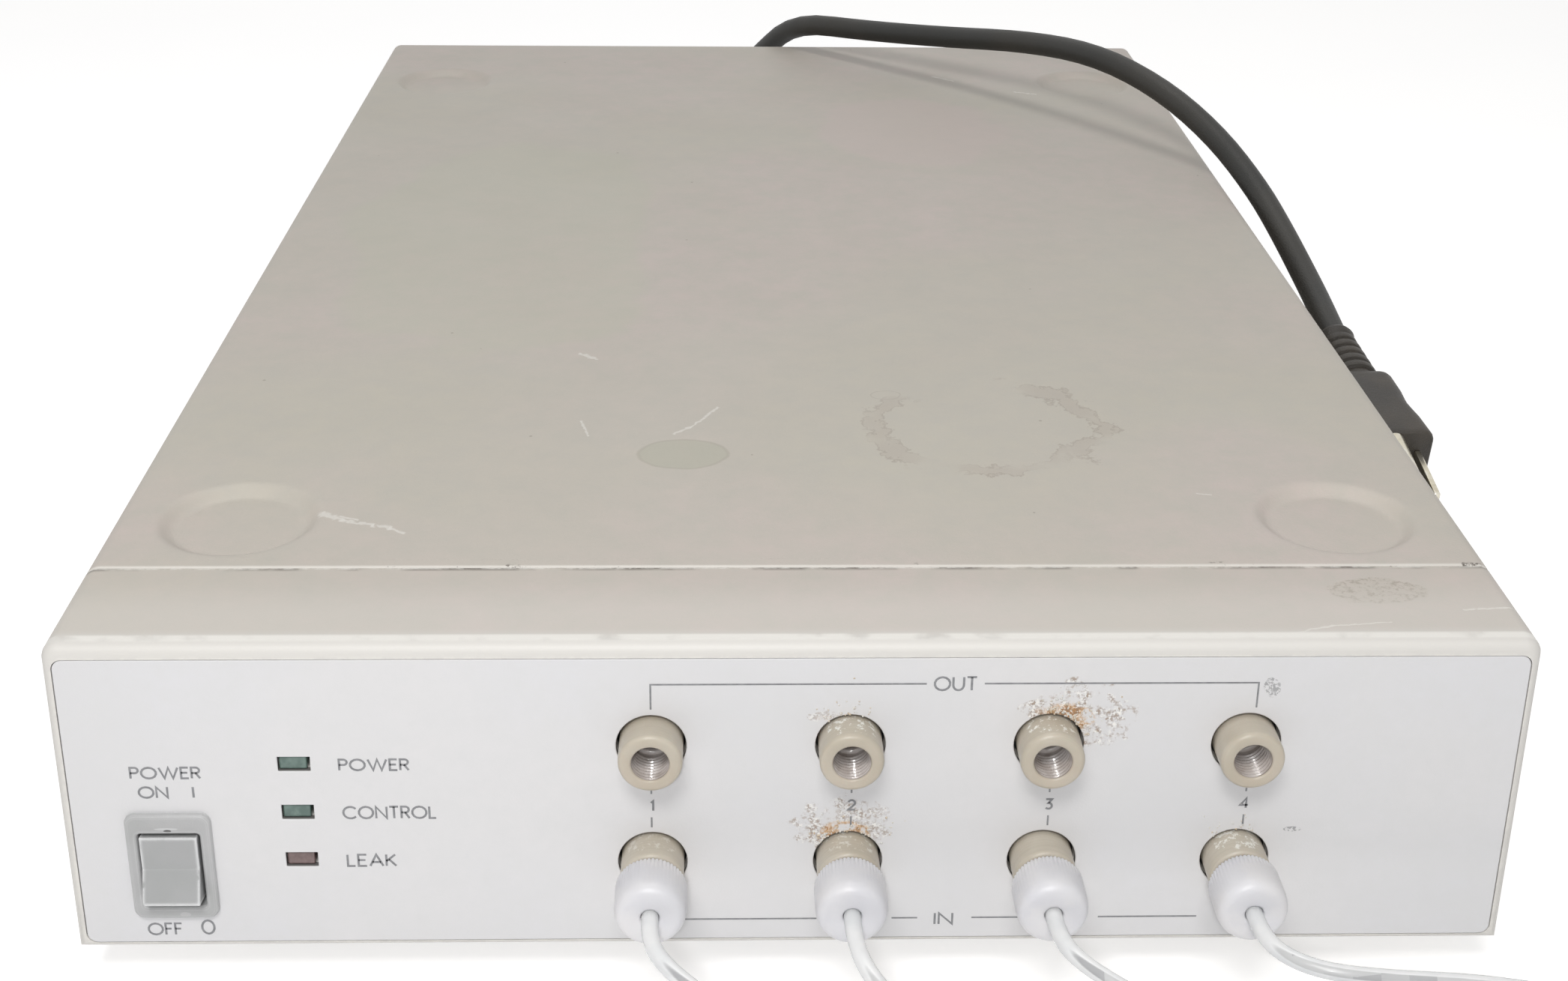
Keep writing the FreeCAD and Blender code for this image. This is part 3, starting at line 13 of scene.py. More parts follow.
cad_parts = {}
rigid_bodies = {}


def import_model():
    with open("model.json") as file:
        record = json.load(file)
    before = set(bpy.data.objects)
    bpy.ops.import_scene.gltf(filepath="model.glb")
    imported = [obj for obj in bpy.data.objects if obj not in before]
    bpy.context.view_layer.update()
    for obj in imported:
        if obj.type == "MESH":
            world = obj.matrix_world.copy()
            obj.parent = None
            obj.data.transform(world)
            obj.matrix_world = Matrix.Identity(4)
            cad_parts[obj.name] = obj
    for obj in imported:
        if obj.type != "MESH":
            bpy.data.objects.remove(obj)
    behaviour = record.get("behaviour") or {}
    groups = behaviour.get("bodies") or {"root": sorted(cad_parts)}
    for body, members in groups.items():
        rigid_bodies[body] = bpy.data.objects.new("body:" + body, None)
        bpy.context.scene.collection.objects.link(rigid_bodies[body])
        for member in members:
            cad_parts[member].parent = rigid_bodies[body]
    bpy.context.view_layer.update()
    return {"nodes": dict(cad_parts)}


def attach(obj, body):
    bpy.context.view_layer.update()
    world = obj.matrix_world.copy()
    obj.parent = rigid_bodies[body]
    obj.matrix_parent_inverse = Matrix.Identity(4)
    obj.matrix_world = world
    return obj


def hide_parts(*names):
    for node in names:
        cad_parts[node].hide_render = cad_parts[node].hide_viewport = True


for unused in list(bpy.data.objects):
    bpy.data.objects.remove(unused)
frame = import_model()
nodes = frame["nodes"]
scene = bpy.context.scene
MM = 0.001


# The photographer's place: a phone held over the front edge, a little left of the middle, which
# looks down at the fittings. The lens is shifted so that the case sits low in the picture.
IMAGE_W, IMAGE_H = 2092, 1309
LENS_PX = 2862.0
MIDDLE_PX = (1049.0, 480.0)
CAMERA_AT = (-12.1, -532.7, 257.4)
CAMERA_YAW, CAMERA_DOWN, CAMERA_ROLL = math.radians(1.67), math.radians(22.32), math.radians(0.67)
SENSOR = 36.0

camera_data = bpy.data.cameras.new("front_camera")
camera_data.sensor_width = SENSOR
camera_data.lens = LENS_PX / IMAGE_W * SENSOR
camera_data.shift_x = (IMAGE_W / 2 - MIDDLE_PX[0]) / IMAGE_W
camera_data.shift_y = (MIDDLE_PX[1] - IMAGE_H / 2) / IMAGE_W
camera_data.clip_start = 0.01
look = np.array([math.sin(CAMERA_YAW) * math.cos(CAMERA_DOWN),
                 math.cos(CAMERA_YAW) * math.cos(CAMERA_DOWN), -math.sin(CAMERA_DOWN)])
level_right = np.array([math.cos(CAMERA_YAW), -math.sin(CAMERA_YAW), 0.0])
level_up = np.cross(level_right, look)
right = level_right * math.cos(CAMERA_ROLL) + level_up * math.sin(CAMERA_ROLL)
up = -level_right * math.sin(CAMERA_ROLL) + level_up * math.cos(CAMERA_ROLL)
camera = bpy.data.objects.new("front_camera", camera_data)
scene.collection.objects.link(camera)
turn = np.column_stack([right, up, -look])
camera.matrix_world = Matrix.Translation([c * MM for c in CAMERA_AT]) @ Matrix(turn.tolist()).to_4x4()
scene.camera = camera
scene.view_settings.view_transform = "Standard"


# Colours are written as they look on a screen, 0 to 255, and a material is built from nodes that
# are joined by name. A finish that several materials share is a group of nodes with sockets.
def srgb(red, green, blue):
    """Screen colour to linear light: c/12.92 below 0.04045, else ((c + 0.055) / 1.055) ** 2.4."""
    shares = np.array([red, green, blue]) / 255
    linear = np.where(shares <= 0.04045, shares / 12.92, ((shares + 0.055) / 1.055) ** 2.4)
    return (*linear.tolist(), 1.0)


def metres(*lengths):
    """Millimetres to a tuple in metres."""
    return tuple(length * MM for length in lengths)


def fed(tree, socket, value):
    """Sets an input to a value, or links another output to it."""
    if isinstance(value, bpy.types.NodeSocket):
        tree.links.new(value, socket)
    else:
        socket.default_value = value


def joined(tree, kind, inputs=None, **settings):
    """A node of a kind, with its settings, and its inputs set to values or to other outputs."""
    made = tree.nodes.new(kind)
    for name, value in settings.items():
        setattr(made, name, value)
    for name, value in (inputs or {}).items():
        fed(tree, made.inputs[name], value)
    return made


def object_point(tree):
    """The point on the surface, in the object's own coordinates."""
    return joined(tree, "ShaderNodeTexCoord").outputs["Object"]


def finish_of(name, **values):
    """A material with one Principled shader; returns the material, its tree, the shader and the
    point on the surface."""
    made = bpy.data.materials.new(name)
    made.use_nodes = True
    shader = made.node_tree.nodes["Principled BSDF"]
    for socket, value in values.items():
        shader.inputs[socket.replace("_", " ").title().replace("Ior", "IOR")].default_value = value
    return made, made.node_tree, shader, object_point(made.node_tree)


def coloured(tree, shader, colour):
    """Gives a shader its base colour."""
    tree.links.new(colour, shader.inputs["Base Color"])


def effect(name, inputs, outputs):
    """A node group with named sockets; returns it, its inputs as outputs to draw on, and its end."""
    group = bpy.data.node_groups.new(name, "ShaderNodeTree")
    for label, kind, value in inputs:
        socket = group.interface.new_socket(label, in_out="INPUT", socket_type=f"NodeSocket{kind}")
        socket.default_value = value
    for label, kind in outputs:
        group.interface.new_socket(label, in_out="OUTPUT", socket_type=f"NodeSocket{kind}")
    return group, group.nodes.new("NodeGroupInput").outputs, group.nodes.new("NodeGroupOutput")


def placed(tree, group, **inputs):
    """A group node in a material, with its sockets set; returns what it puts out."""
    made = tree.nodes.new("ShaderNodeGroup")
    made.node_tree = group
    for name, value in inputs.items():
        fed(tree, made.inputs[name], value)
    return made.outputs


def maths(tree, kind, first, second=0.0, clamp=False):
    """One sum of two numbers or outputs."""
    return joined(tree, "ShaderNodeMath", {0: first, 1: second}, operation=kind, use_clamp=clamp).outputs[0]


def vector(tree, kind, first, second=(0.0, 0.0, 0.0)):
    """One sum of two vectors or outputs; a length, a distance and a dot product are numbers."""
    made = joined(tree, "ShaderNodeVectorMath", {0: first, 1: second}, operation=kind)
    return made.outputs["Value" if kind in ("LENGTH", "DISTANCE", "DOT_PRODUCT") else "Vector"]


def scaled(tree, first, share):
    """A vector times a number."""
    return joined(tree, "ShaderNodeVectorMath", {0: first, "Scale": share}, operation="SCALE").outputs[0]


def product(tree, first, *others):
    """Two or more numbers or outputs, multiplied."""
    for other in others:
        first = maths(tree, "MULTIPLY", first, other)
    return first


def ramp(tree, value, low, high, smooth=True):
    """0 below low, 1 above high, and a soft or straight rise between them."""
    made = joined(tree, "ShaderNodeMapRange", {"Value": value, "From Min": low, "From Max": high},
                  interpolation_type="SMOOTHSTEP" if smooth else "LINEAR", clamp=True)
    return made.outputs["Result"]


def rise(tree, length, low, high):
    """A ramp between two lengths in millimetres."""
    return ramp(tree, length, low * MM, high * MM)


def blended(tree, share, first, second):
    """A colour between two colours."""
    return joined(tree, "ShaderNodeMix", {0: share, 6: first, 7: second}, data_type="RGBA").outputs[2]


def painted(tree, tone, colour, *shares):
    """A screen colour laid over a tone, by the product of its shares."""
    return blended(tree, product(tree, *shares), tone, srgb(*colour))


def noise(tree, point, scale, detail=3.0, roughness=0.5):
    """Cloudy noise over a point, from about 0.3 to 0.7."""
    made = joined(tree, "ShaderNodeTexNoise", {"Vector": point, "Scale": scale, "Detail": detail,
                                               "Roughness": roughness})
    return made.outputs["Fac"]


grain_group, grain_in, grain_out = effect(
    "surface grain", [("Scale", "Float", 900.0), ("Depth", "Float", 0.1), ("Point", "Vector", (0, 0, 0))],
    [("Normal", "Vector"), ("Speckle", "Float")])
grain_noise = noise(grain_group, grain_in["Point"], grain_in["Scale"], detail=4.0)
grain_bump = joined(grain_group, "ShaderNodeBump",
                    {"Strength": grain_in["Depth"], "Distance": 0.4 * MM, "Height": grain_noise})
grain_group.links.new(grain_bump.outputs["Normal"], grain_out.inputs["Normal"])
grain_group.links.new(grain_noise, grain_out.inputs["Speckle"])

cloud_group, cloud_in, cloud_out = effect("cloudy colour",
                                          [("Point", "Vector", (0, 0, 0)), ("Scale", "Float", 8.0),
                                           ("First", "Color", (1, 1, 1, 1)),
                                           ("Second", "Color", (1, 1, 1, 1)),
                                           ("Third", "Color", (1, 1, 1, 1))], [("Color", "Color")])
wide = ramp(cloud_group, noise(cloud_group, cloud_in["Point"], cloud_in["Scale"]), 0.38, 0.62)
shifted = vector(cloud_group, "ADD", cloud_in["Point"], (3.1, 7.7, 1.3))
other = ramp(cloud_group, noise(cloud_group, shifted, cloud_in["Scale"], detail=5.0), 0.42, 0.64)
two = blended(cloud_group, wide, cloud_in["First"], cloud_in["Second"])
three = blended(cloud_group, other, two, cloud_in["Third"])
cloud_group.links.new(three, cloud_out.inputs["Color"])

speck_group, speck_in, speck_out = effect(
    "specks", [("Point", "Vector", (0, 0, 0)), ("Scale", "Float", 60.0), ("Size", "Float", 0.12),
               ("Share", "Float", 0.3)], [("Mask", "Float")])
cells = joined(speck_group, "ShaderNodeTexVoronoi",
               {"Vector": speck_in["Point"], "Scale": speck_in["Scale"]})
near = maths(speck_group, "LESS_THAN", cells.outputs["Distance"], speck_in["Size"])
chosen = maths(speck_group, "LESS_THAN",
               joined(speck_group, "ShaderNodeSeparateColor", {"Color": cells.outputs["Color"]}).outputs[0],
               speck_in["Share"])
speck_group.links.new(product(speck_group, near, chosen), speck_out.inputs["Mask"])


def grained(tree, shader, point, scale, depth):
    """Gives a shader the fine grain, as a bump; returns what the grain puts out."""
    grain = placed(tree, grain_group, Scale=scale, Depth=depth, Point=point)
    tree.links.new(grain["Normal"], shader.inputs["Normal"])
    return grain


def uneven_gloss(tree, shader, point, scale, low, high, least=0.0, most=1.0):
    """Gives a shader a roughness that wanders from low to high, as its noise goes from least to most."""
    wander = joined(tree, "ShaderNodeMapRange", {"Value": noise(tree, point, scale), "From Min": least,
                                                 "From Max": most, "To Min": low, "To Max": high})
    tree.links.new(wander.outputs["Result"], shader.inputs["Roughness"])


def axes(tree, point):
    """The X, Y and Z of a point, in metres."""
    return joined(tree, "ShaderNodeSeparateXYZ", {"Vector": point}).outputs


def clouded(tree, point, scale, first, second, third):
    """Three screen colours in clouds."""
    return placed(tree, cloud_group, Point=point, Scale=scale, First=srgb(*first), Second=srgb(*second),
                  Third=srgb(*third))["Color"]


def simple_finish(name, scale, colours, grain=None, **values):
    """A finish of three clouded colours, with a fine grain of a scale and a depth where one is given."""
    made, tree, shader, point = finish_of(name, **values)
    coloured(tree, shader, clouded(tree, point, scale, *colours))
    if grain:
        grained(tree, shader, point, *grain)
    return made


# Rings of points make the new pieces: each ring joins the next with quads, and the last may join
# the first, as in a turned piece.
SMOOTH_ANGLE = math.radians(40)
CORNER_STEPS = 4


def linked(name, data):
    """A new object in the scene, with its data."""
    piece = bpy.data.objects.new(name, data)
    scene.collection.objects.link(piece)
    return piece


def mesh_piece(name, points, faces):
    """A mesh object from points in metres, shaded smooth except at sharp edges."""
    mesh = bpy.data.meshes.new(name)
    mesh.from_pydata(points, [], faces)
    mesh.update()
    mesh.shade_smooth()
    mesh.set_sharp_from_angle(angle=SMOOTH_ANGLE)
    return linked(name, mesh)


def piece_from(name, points, faces):
    """A mesh object from points in millimetres."""
    return mesh_piece(name, (np.asarray(points, float).reshape(-1, 3) * MM).tolist(), faces)


def ring_faces(rows, columns, close_rows=False):
    """Quads over rings of equally many points, numbered ring by ring."""
    row = np.arange(rows if close_rows else rows - 1)
    r, c = np.meshgrid(row, np.arange(columns), indexing="ij")
    r2, c2 = (r + 1) % rows, (c + 1) % columns
    quads = np.stack([r * columns + c, r * columns + c2, r2 * columns + c2, r2 * columns + c], -1)
    return quads.reshape(-1, 4).tolist()


def soft_outline(points, radii):
    """A flat outline with its corners rounded: each corner gives way to an arc between its sides,
    which starts radius * tan(turn / 2) from the corner, or 0.45 of the shorter side."""
    points = [np.array(point, float) for point in points]
    count = len(points)
    out = []
    for k, corner in enumerate(points):
        if radii[k] <= 0:
            out.append(corner)
            continue
        before, after = points[k - 1] - corner, points[(k + 1) % count] - corner
        long_before, long_after = np.linalg.norm(before), np.linalg.norm(after)
        before, after = before / long_before, after / long_after
        half = math.acos(max(-1.0, min(1.0, float(before @ after)))) / 2
        back = min(radii[k] / math.tan(half), 0.45 * long_before, 0.45 * long_after)
        size = back * math.tan(half)
        middle = corner + (before + after) / np.linalg.norm(before + after) * (size / math.sin(half))
        first, last = corner + before * back - middle, corner + after * back - middle
        sweep = math.pi - 2 * half
        for share in np.linspace(0, 1, CORNER_STEPS + 1):
            mixed = (first * math.sin(sweep * (1 - share)) + last * math.sin(sweep * share)) / math.sin(sweep)
            out.append(middle + mixed)
    return np.array(out)


def turned_points(profile, at, along, sides, wave):
    """A profile of (radius, distance) pairs carried round an axis: at + along * distance plus
    radius * (cos a, sin a) across it. wave(angle, distance, radius) gives the radius at each point."""
    along = np.array(along, float) / np.linalg.norm(along)
    helper = np.array([0, 0, 1.0]) if abs(along[2]) < 0.9 else np.array([1.0, 0, 0])
    across = np.cross(helper, along)
    across /= np.linalg.norm(across)
    over = np.cross(along, across)
    angle = np.arange(sides) * 2 * math.pi / sides
    radius = np.asarray(profile)[:, 0][:, None] * np.ones(sides)
    distance = np.asarray(profile)[:, 1][:, None] * np.ones(sides)
    if wave is not None:
        radius = wave(angle[None, :], distance, radius)
    ring = np.cos(angle)[:, None] * across + np.sin(angle)[:, None] * over
    return np.asarray(at, float) + distance[..., None] * along + radius[..., None] * ring[None]


def turned(name, profile, at, along, sides, wave=None):
    """A turned piece: the profile goes round its axis, and its last row meets its first."""
    points = turned_points(profile, at, along, sides, wave)
    piece = piece_from(name, points, ring_faces(len(profile), sides, True))
    return sealed(piece)


def sealed(piece, smooth_angle=SMOOTH_ANGLE):
    """Joins doubled points, drops faces without area and turns all faces outwards."""
    work = bmesh.new()
    work.from_mesh(piece.data)
    bmesh.ops.remove_doubles(work, verts=work.verts, dist=1e-6)
    bmesh.ops.dissolve_degenerate(work, dist=1e-7, edges=work.edges)
    bmesh.ops.recalc_face_normals(work, faces=work.faces)
    work.to_mesh(piece.data)
    work.free()
    piece.data.shade_smooth()
    piece.data.set_sharp_from_angle(angle=smooth_angle)
    return piece


def one_piece(name, parts):
    """Several meshes as one object, shaded smooth except at sharp edges."""
    points, faces, start = [], [], 0
    for part in parts:
        mesh = part.data
        points += [tuple(v.co) for v in mesh.vertices]
        faces += [[v + start for v in polygon.vertices] for polygon in mesh.polygons]
        start += len(mesh.vertices)
        bpy.data.objects.remove(part)
    return mesh_piece(name, points, faces)


def dressed_copy(node, name, edge, steps, finish, slot, body="case"):
    """A piece that stands for a frame piece: a copy with its loose triangles merged, flat faces made
    whole, and its sharp edges broken by a small bevel."""
    mesh = nodes[node].data.copy()
    mesh.name = name
    work = bmesh.new()
    work.from_mesh(mesh)
    bmesh.ops.remove_doubles(work, verts=work.verts, dist=2e-6)
    bmesh.ops.dissolve_limit(work, angle_limit=math.radians(0.6), verts=work.verts, edges=work.edges)
    work.to_mesh(mesh)
    work.free()
    mesh.shade_smooth()
    mesh.set_sharp_from_angle(angle=math.radians(32))
    piece = linked(name, mesh)
    bevel = piece.modifiers.new("broken edges", "BEVEL")
    bevel.width = edge * MM
    bevel.segments = steps
    bevel.limit_method = "ANGLE"
    bevel.angle_limit = math.radians(50)
    bevel.use_clamp_overlap = True
    bevel.harden_normals = False
    flat = piece.modifiers.new("flat faces", "WEIGHTED_NORMAL")
    flat.keep_sharp = True
    given(piece, finish, body, slot, node)
    return piece


def given(piece, finish, body, slot, *replaced):
    """Gives a piece its finish and the body that it rides on, and hides the nodes it stands for; slot is not
    used.
    """
    piece.data.materials.clear()
    piece.data.materials.append(finish)
    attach(piece, body)
    if replaced:
        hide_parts(*replaced)


# The inlet lines are clear 3 mm tubes, stiff enough to stand out of their nuts before they drop.
# The length that the photograph doesn't show is wound in two flat layers in front of the case,
# and each far end carries a sintered suction filter.
TUBE_OD = 3.0
PORT_XS = (-25.6, 9.4, 44.4, 79.4)
COIL_XS = (-14.0, 36.0, 86.0, 136.0)
COIL_Y = -288.0
COIL_RADIUS = 22.0
COIL_PITCH = 3.1
COIL_LAYER_TURNS = 4
COIL_POINTS = 16
COIL_END_L = 16.0
INLET_ROUTES = (
    [(-25.6, -226.6, 27.4), (-25.6, -233.0, 27.4), (-22.2, -239.4, 26.8), (-15.4, -244.8, 24.8),
     (-6.8, -249.4, 19.2), (1.0, -254.4, 11.2), (6.2, -260.8, 4.8), (8.0, -268.0, 1.5),
     (8.0, -275.0, 1.5)],
    [(9.4, -226.6, 27.4), (9.4, -234.0, 27.4), (12.0, -242.0, 26.2), (18.8, -248.8, 22.8),
     (28.6, -253.0, 17.2), (39.0, -255.6, 11.2), (48.0, -258.4, 6.2), (54.2, -262.4, 3.0),
     (58.0, -268.6, 1.5), (58.0, -275.0, 1.5)],
    [(44.4, -226.6, 27.4), (44.4, -233.0, 27.4), (47.8, -239.2, 26.9), (54.4, -244.2, 25.4),
     (63.6, -247.8, 22.2), (75.2, -250.6, 17.2), (87.0, -253.4, 11.4), (97.2, -257.0, 6.0),
     (104.4, -262.4, 2.6), (108.0, -268.8, 1.5), (108.0, -275.0, 1.5)],
    [(79.4, -226.6, 27.4), (79.4, -232.6, 27.4), (82.4, -238.2, 27.3), (88.4, -241.8, 27.1),
     (99.0, -243.4, 26.9), (113.6, -244.2, 26.6), (129.0, -245.4, 24.6), (141.6, -248.8, 18.6),
     (150.4, -254.2, 10.4), (155.6, -261.0, 4.0), (158.0, -268.4, 1.5), (158.0, -275.0, 1.5)],
)


def coil_points(centre, radius, pitch, layer_turns, diameter, way):
    """Turns of a flat coil in two layers: the radius falls by a pitch in each turn to the middle,
    the line steps up one layer there, and the radius grows again on the way out. way is 1 for
    turns to the left and -1 for turns to the right, seen from above."""
    steps = int(round(layer_turns * COIL_POINTS))
    turns = np.arange(1, 2 * steps + 1) / COIL_POINTS
    inwards = np.minimum(turns, 2 * layer_turns - turns)
    angle = way * 2 * math.pi * turns
    r = radius - pitch * inwards
    climb = np.clip((turns - layer_turns + 0.25) / 0.5, 0, 1)
    z = diameter / 2 + pitch * climb
    return np.stack([centre[0] + r * np.cos(angle), centre[1] + r * np.sin(angle), z], -1).tolist()


def cord_curve(name, points, diameter, sides=12):
    """A round cord on one smooth NURBS line whose control points are the route's points."""
    curve = bpy.data.curves.new(name, "CURVE")
    curve.dimensions = "3D"
    curve.bevel_depth = diameter / 2 * MM
    curve.bevel_resolution = (sides - 4) // 2
    curve.resolution_u = 4
    curve.use_fill_caps = True
    spline = curve.splines.new("NURBS")
    spline.points.add(len(points) - 1)
    spline.points.foreach_set("co", [c for p in points for c in (p[0] * MM, p[1] * MM, p[2] * MM, 1.0)])
    spline.order_u = 3
    spline.use_endpoint_u = True
    return linked(name, curve)


def line_length(points):
    """The length of a smooth line, read from its spline as a curve with no bevel, in metres."""
    bare = cord_curve("measured line", points, 0.0)
    bare.data.use_fill_caps = False
    mesh = bpy.data.meshes.new_from_object(bare)
    line = np.array([v.co for v in mesh.vertices])
    bpy.data.objects.remove(bare)
    bpy.data.meshes.remove(mesh)
    return float(np.linalg.norm(np.diff(line, axis=0), axis=1).sum())


tube_finish, tree, shader, point = finish_of("clear fluoropolymer", roughness=0.2, ior=1.36,
                                             transmission_weight=0.16, subsurface_weight=0.35,
                                             subsurface_radius=metres(3.0, 3.0, 3.0), subsurface_scale=0.5)
haze = ramp(tree, noise(tree, point, 160.0, detail=2.0), 0.4, 0.7)
wall_colour = blended(tree, haze, srgb(242, 243, 244), srgb(232, 234, 236))
stepped = vector(tree, "SNAP", point, metres(4.6, 4.6, 4.6))
slug = ramp(tree, noise(tree, stepped, 240.0, detail=0.0), 0.46, 0.5)
# Painted shade: a darker grey core shader shows along the tube's middle where it faces the camera; its
# stepped tones are the liquid slugs.
shaded_core_colour = blended(tree, slug, srgb(190, 191, 193), srgb(216, 217, 218))
coloured(tree, shader, wall_colour)
grain = grained(tree, shader, point, 1400.0, 0.08)["Normal"]
core = joined(tree, "ShaderNodeBsdfPrincipled", {"Base Color": shaded_core_colour, "Roughness": 0.2, "IOR": 1.36,
                                                 "Transmission Weight": 0.3, "Normal": grain})
facing = joined(tree, "ShaderNodeLayerWeight", {"Blend": 0.5}).outputs["Facing"]
facing_edge_share = ramp(tree, facing, 0.1, 0.19)
tree.links.new(joined(tree, "ShaderNodeMixShader",
                      {0: facing_edge_share, 1: core.outputs[0], 2: shader.outputs[0]}).outputs[0],
               tree.nodes["Material Output"].inputs["Surface"])

filter_finish, tree, shader, point = finish_of("sintered steel", metallic=0.85, roughness=0.62)
grains = grained(tree, shader, point, 5200.0, 0.9)
coloured(tree, shader, blended(tree, ramp(tree, grains["Speckle"], 0.35, 0.65), srgb(112, 108, 102),
                               srgb(172, 168, 160)))

neck_finish = simple_finish("filter neck polymer", 120.0, ((222, 222, 220), (212, 212, 209), (228, 228, 226)),
                            roughness=0.5)

FILTER_NECK_R, FILTER_NECK_L, FILTER_R, FILTER_L = 2.6, 6.0, 4.6, 22.0
for number, (route, coil_x) in enumerate(zip(INLET_ROUTES, COIL_XS), start=1):
    body = f"inlet_line_{number}"
    end_z = TUBE_OD / 2 + COIL_PITCH
    turns = coil_points((coil_x, COIL_Y), COIL_RADIUS, COIL_PITCH, COIL_LAYER_TURNS, TUBE_OD, -1)
    start_of_coil = [(coil_x + COIL_RADIUS, COIL_Y, TUBE_OD / 2)]
    filter_y = COIL_Y - COIL_END_L
    tail = [(coil_x + COIL_RADIUS, COIL_Y - COIL_END_L / 2, end_z), (coil_x + COIL_RADIUS, filter_y, end_z)]
    points = route + start_of_coil + turns + tail
    tube = cord_curve(f"inlet_tube_line_{number}", points, TUBE_OD)
    given(tube, tube_finish, body, "clear_tube", f"inlet_tube_{number}", f"inlet_coil_{number}")
    filter_at = (coil_x + COIL_RADIUS, filter_y, end_z)
    neck_profile = soft_outline([(0.0, 0.0), (FILTER_NECK_R, 0.0), (FILTER_NECK_R, FILTER_NECK_L + 1.0),
                                 (0.0, FILTER_NECK_L + 1.0)], (0, 0.5, 0, 0))
    neck = turned(f"filter_neck_{number}", neck_profile, filter_at, (0, -1, 0), 32)
    given(neck, neck_finish, body, "nut_polymer")
    shell_profile = soft_outline([(0.0, FILTER_NECK_L), (FILTER_R, FILTER_NECK_L),
                                  (FILTER_R, FILTER_NECK_L + FILTER_L), (0.0, FILTER_NECK_L + FILTER_L)],
                                 (0, 1.0, 1.4, 0))
    shell = turned(f"suction_filter_{number}", shell_profile, filter_at, (0, -1, 0), 40)
    given(shell, filter_finish, body, "filter_steel", f"inlet_filter_{number}")
    line_length(points)


# The mains lead is a black 7 mm three-core lead. It leaves the rear panel through a gland with a
# tapered, ribbed relief, lies wound behind the case, and comes back over the top to its plug.
LEAD_OD = 7.0
LEAD_COIL_AT = (-31.0, 355.0)
LEAD_COIL_RADIUS = 47.0
LEAD_COIL_PITCH = 7.2
LEAD_LAYER_TURNS = 3.3
LEAD_REAR_ROUTE = [
    (16.0, 242.5, 26.0), (16.0, 256.0, 26.0), (16.1, 273.0, 20.5), (16.1, 289.0, 10.5),
    (16.0, 303.0, 5.0), (16.0, 316.0, 3.5), (16.0, 328.0, 3.5),
]
LEAD_FRONT_ROUTE = [
    (-53.15, 305.525, 10.7), (-45.52, 295.02, 10.7), (-34.5, 279.5, 17.0), (-22.5, 261.5, 31.0),
    (-11.0, 244.0, 49.0), (-0.5, 227.5, 65.5), (11.5, 211.0, 80.6), (34.0, 189.0, 83.0),
    (59.5, 163.5, 87.0), (83.0, 136.0, 92.5), (101.0, 110.5, 94.8), (117.0, 86.5, 90.6),
    (129.8, 66.0, 82.0), (138.4, 46.4, 71.9), (142.4, 30.6, 64.4), (144.6, 14.6, 58.8),
    (145.6, -1.0, 55.0), (145.8, -16.4, 51.8),
]
lead_finish, tree, shader, point = finish_of("lead jacket", roughness=0.42, specular_ior_level=0.5)
coloured(tree, shader, clouded(tree, point, 30.0, (30, 29, 25), (38, 36, 31), (26, 26, 23)))
grained(tree, shader, point, 2600.0, 0.35)
uneven_gloss(tree, shader, point, 45.0, 0.42, 0.62)

lead_turns = coil_points(LEAD_COIL_AT, LEAD_COIL_RADIUS, LEAD_COIL_PITCH, LEAD_LAYER_TURNS, LEAD_OD, 1)
lead_points = (LEAD_REAR_ROUTE + [(LEAD_COIL_AT[0] + LEAD_COIL_RADIUS, LEAD_COIL_AT[1], LEAD_OD / 2)]
               + lead_turns + LEAD_FRONT_ROUTE)
lead = cord_curve("mains_lead", lead_points, LEAD_OD, 20)
given(lead, lead_finish, "case", "lead_jacket", "mains_lead_rear", "mains_coil", "mains_lead_front")


def round_rect(width, height, radius, steps=5, shift=(0.0, 0.0)):
    """The outline of a rectangle with round corners; every such outline has 4 * (steps + 1) points."""
    out = []
    for k, (sx, sz) in enumerate(((1, 1), (-1, 1), (-1, -1), (1, -1))):
        centre = (sx * (width / 2 - radius) + shift[0], sz * (height / 2 - radius) + shift[1])
        for angle in np.linspace(0, math.pi / 2, steps + 1) + k * math.pi / 2:
            out.append((centre[0] + radius * math.cos(angle), centre[1] + radius * math.sin(angle)))
    return np.array(out)


def rect_levels(rows, shift=(0.0, 0.0)):
    """Levels of round rectangles: each row is a width, a height, a corner radius and a depth."""
    return [(round_rect(wide, tall, radius, shift=shift), depth) for wide, tall, radius, depth in rows]


def stacked(name, levels, at, side, up, along):
    """Outlines of equally many points, one after another: at + side * a + up * b + along * c."""
    at, side, up, along = (np.array(v, float) for v in (at, side, up, along))
    points = [at + side * a + up * b + along * c for outline, c in levels for a, b in outline]
    count = len(levels[0][0])
    faces = ring_faces(len(levels), count)
    faces.append(list(range(count))[::-1])
    faces.append(list(range((len(levels) - 1) * count, len(levels) * count)))
    return sealed(piece_from(name, points, faces))


FRONTWARD = {"side": (1, 0, 0), "up": (0, 0, 1), "along": (0, 1, 0)}
lead_rear_at = LEAD_REAR_ROUTE[0]

# The relief at the rear panel is moulded on the lead: a flange, then a taper with seven ribs.
GLAND_FLANGE_R, GLAND_BARREL_R, GLAND_NUT_R = 10.0, 7.9, 11.0
RELIEF_BASE_R, RELIEF_TIP_R, RELIEF_L = 7.0, 4.6, 30.0
RELIEF_RIBS = 7
gland_profile = [(0.0, -45.7), (GLAND_BARREL_R, -45.7), (GLAND_BARREL_R, -37.7), (GLAND_NUT_R, -37.7),
                 (GLAND_NUT_R, -33.7), (GLAND_BARREL_R, -33.7), (GLAND_BARREL_R, -32.5),
                 (GLAND_FLANGE_R - 0.4, -32.5), (GLAND_FLANGE_R, -32.1), (GLAND_FLANGE_R, -30.9),
                 (GLAND_FLANGE_R - 0.3, -30.3), (GLAND_FLANGE_R - 1.0, -30.0), (RELIEF_BASE_R + 0.3, -30.0)]
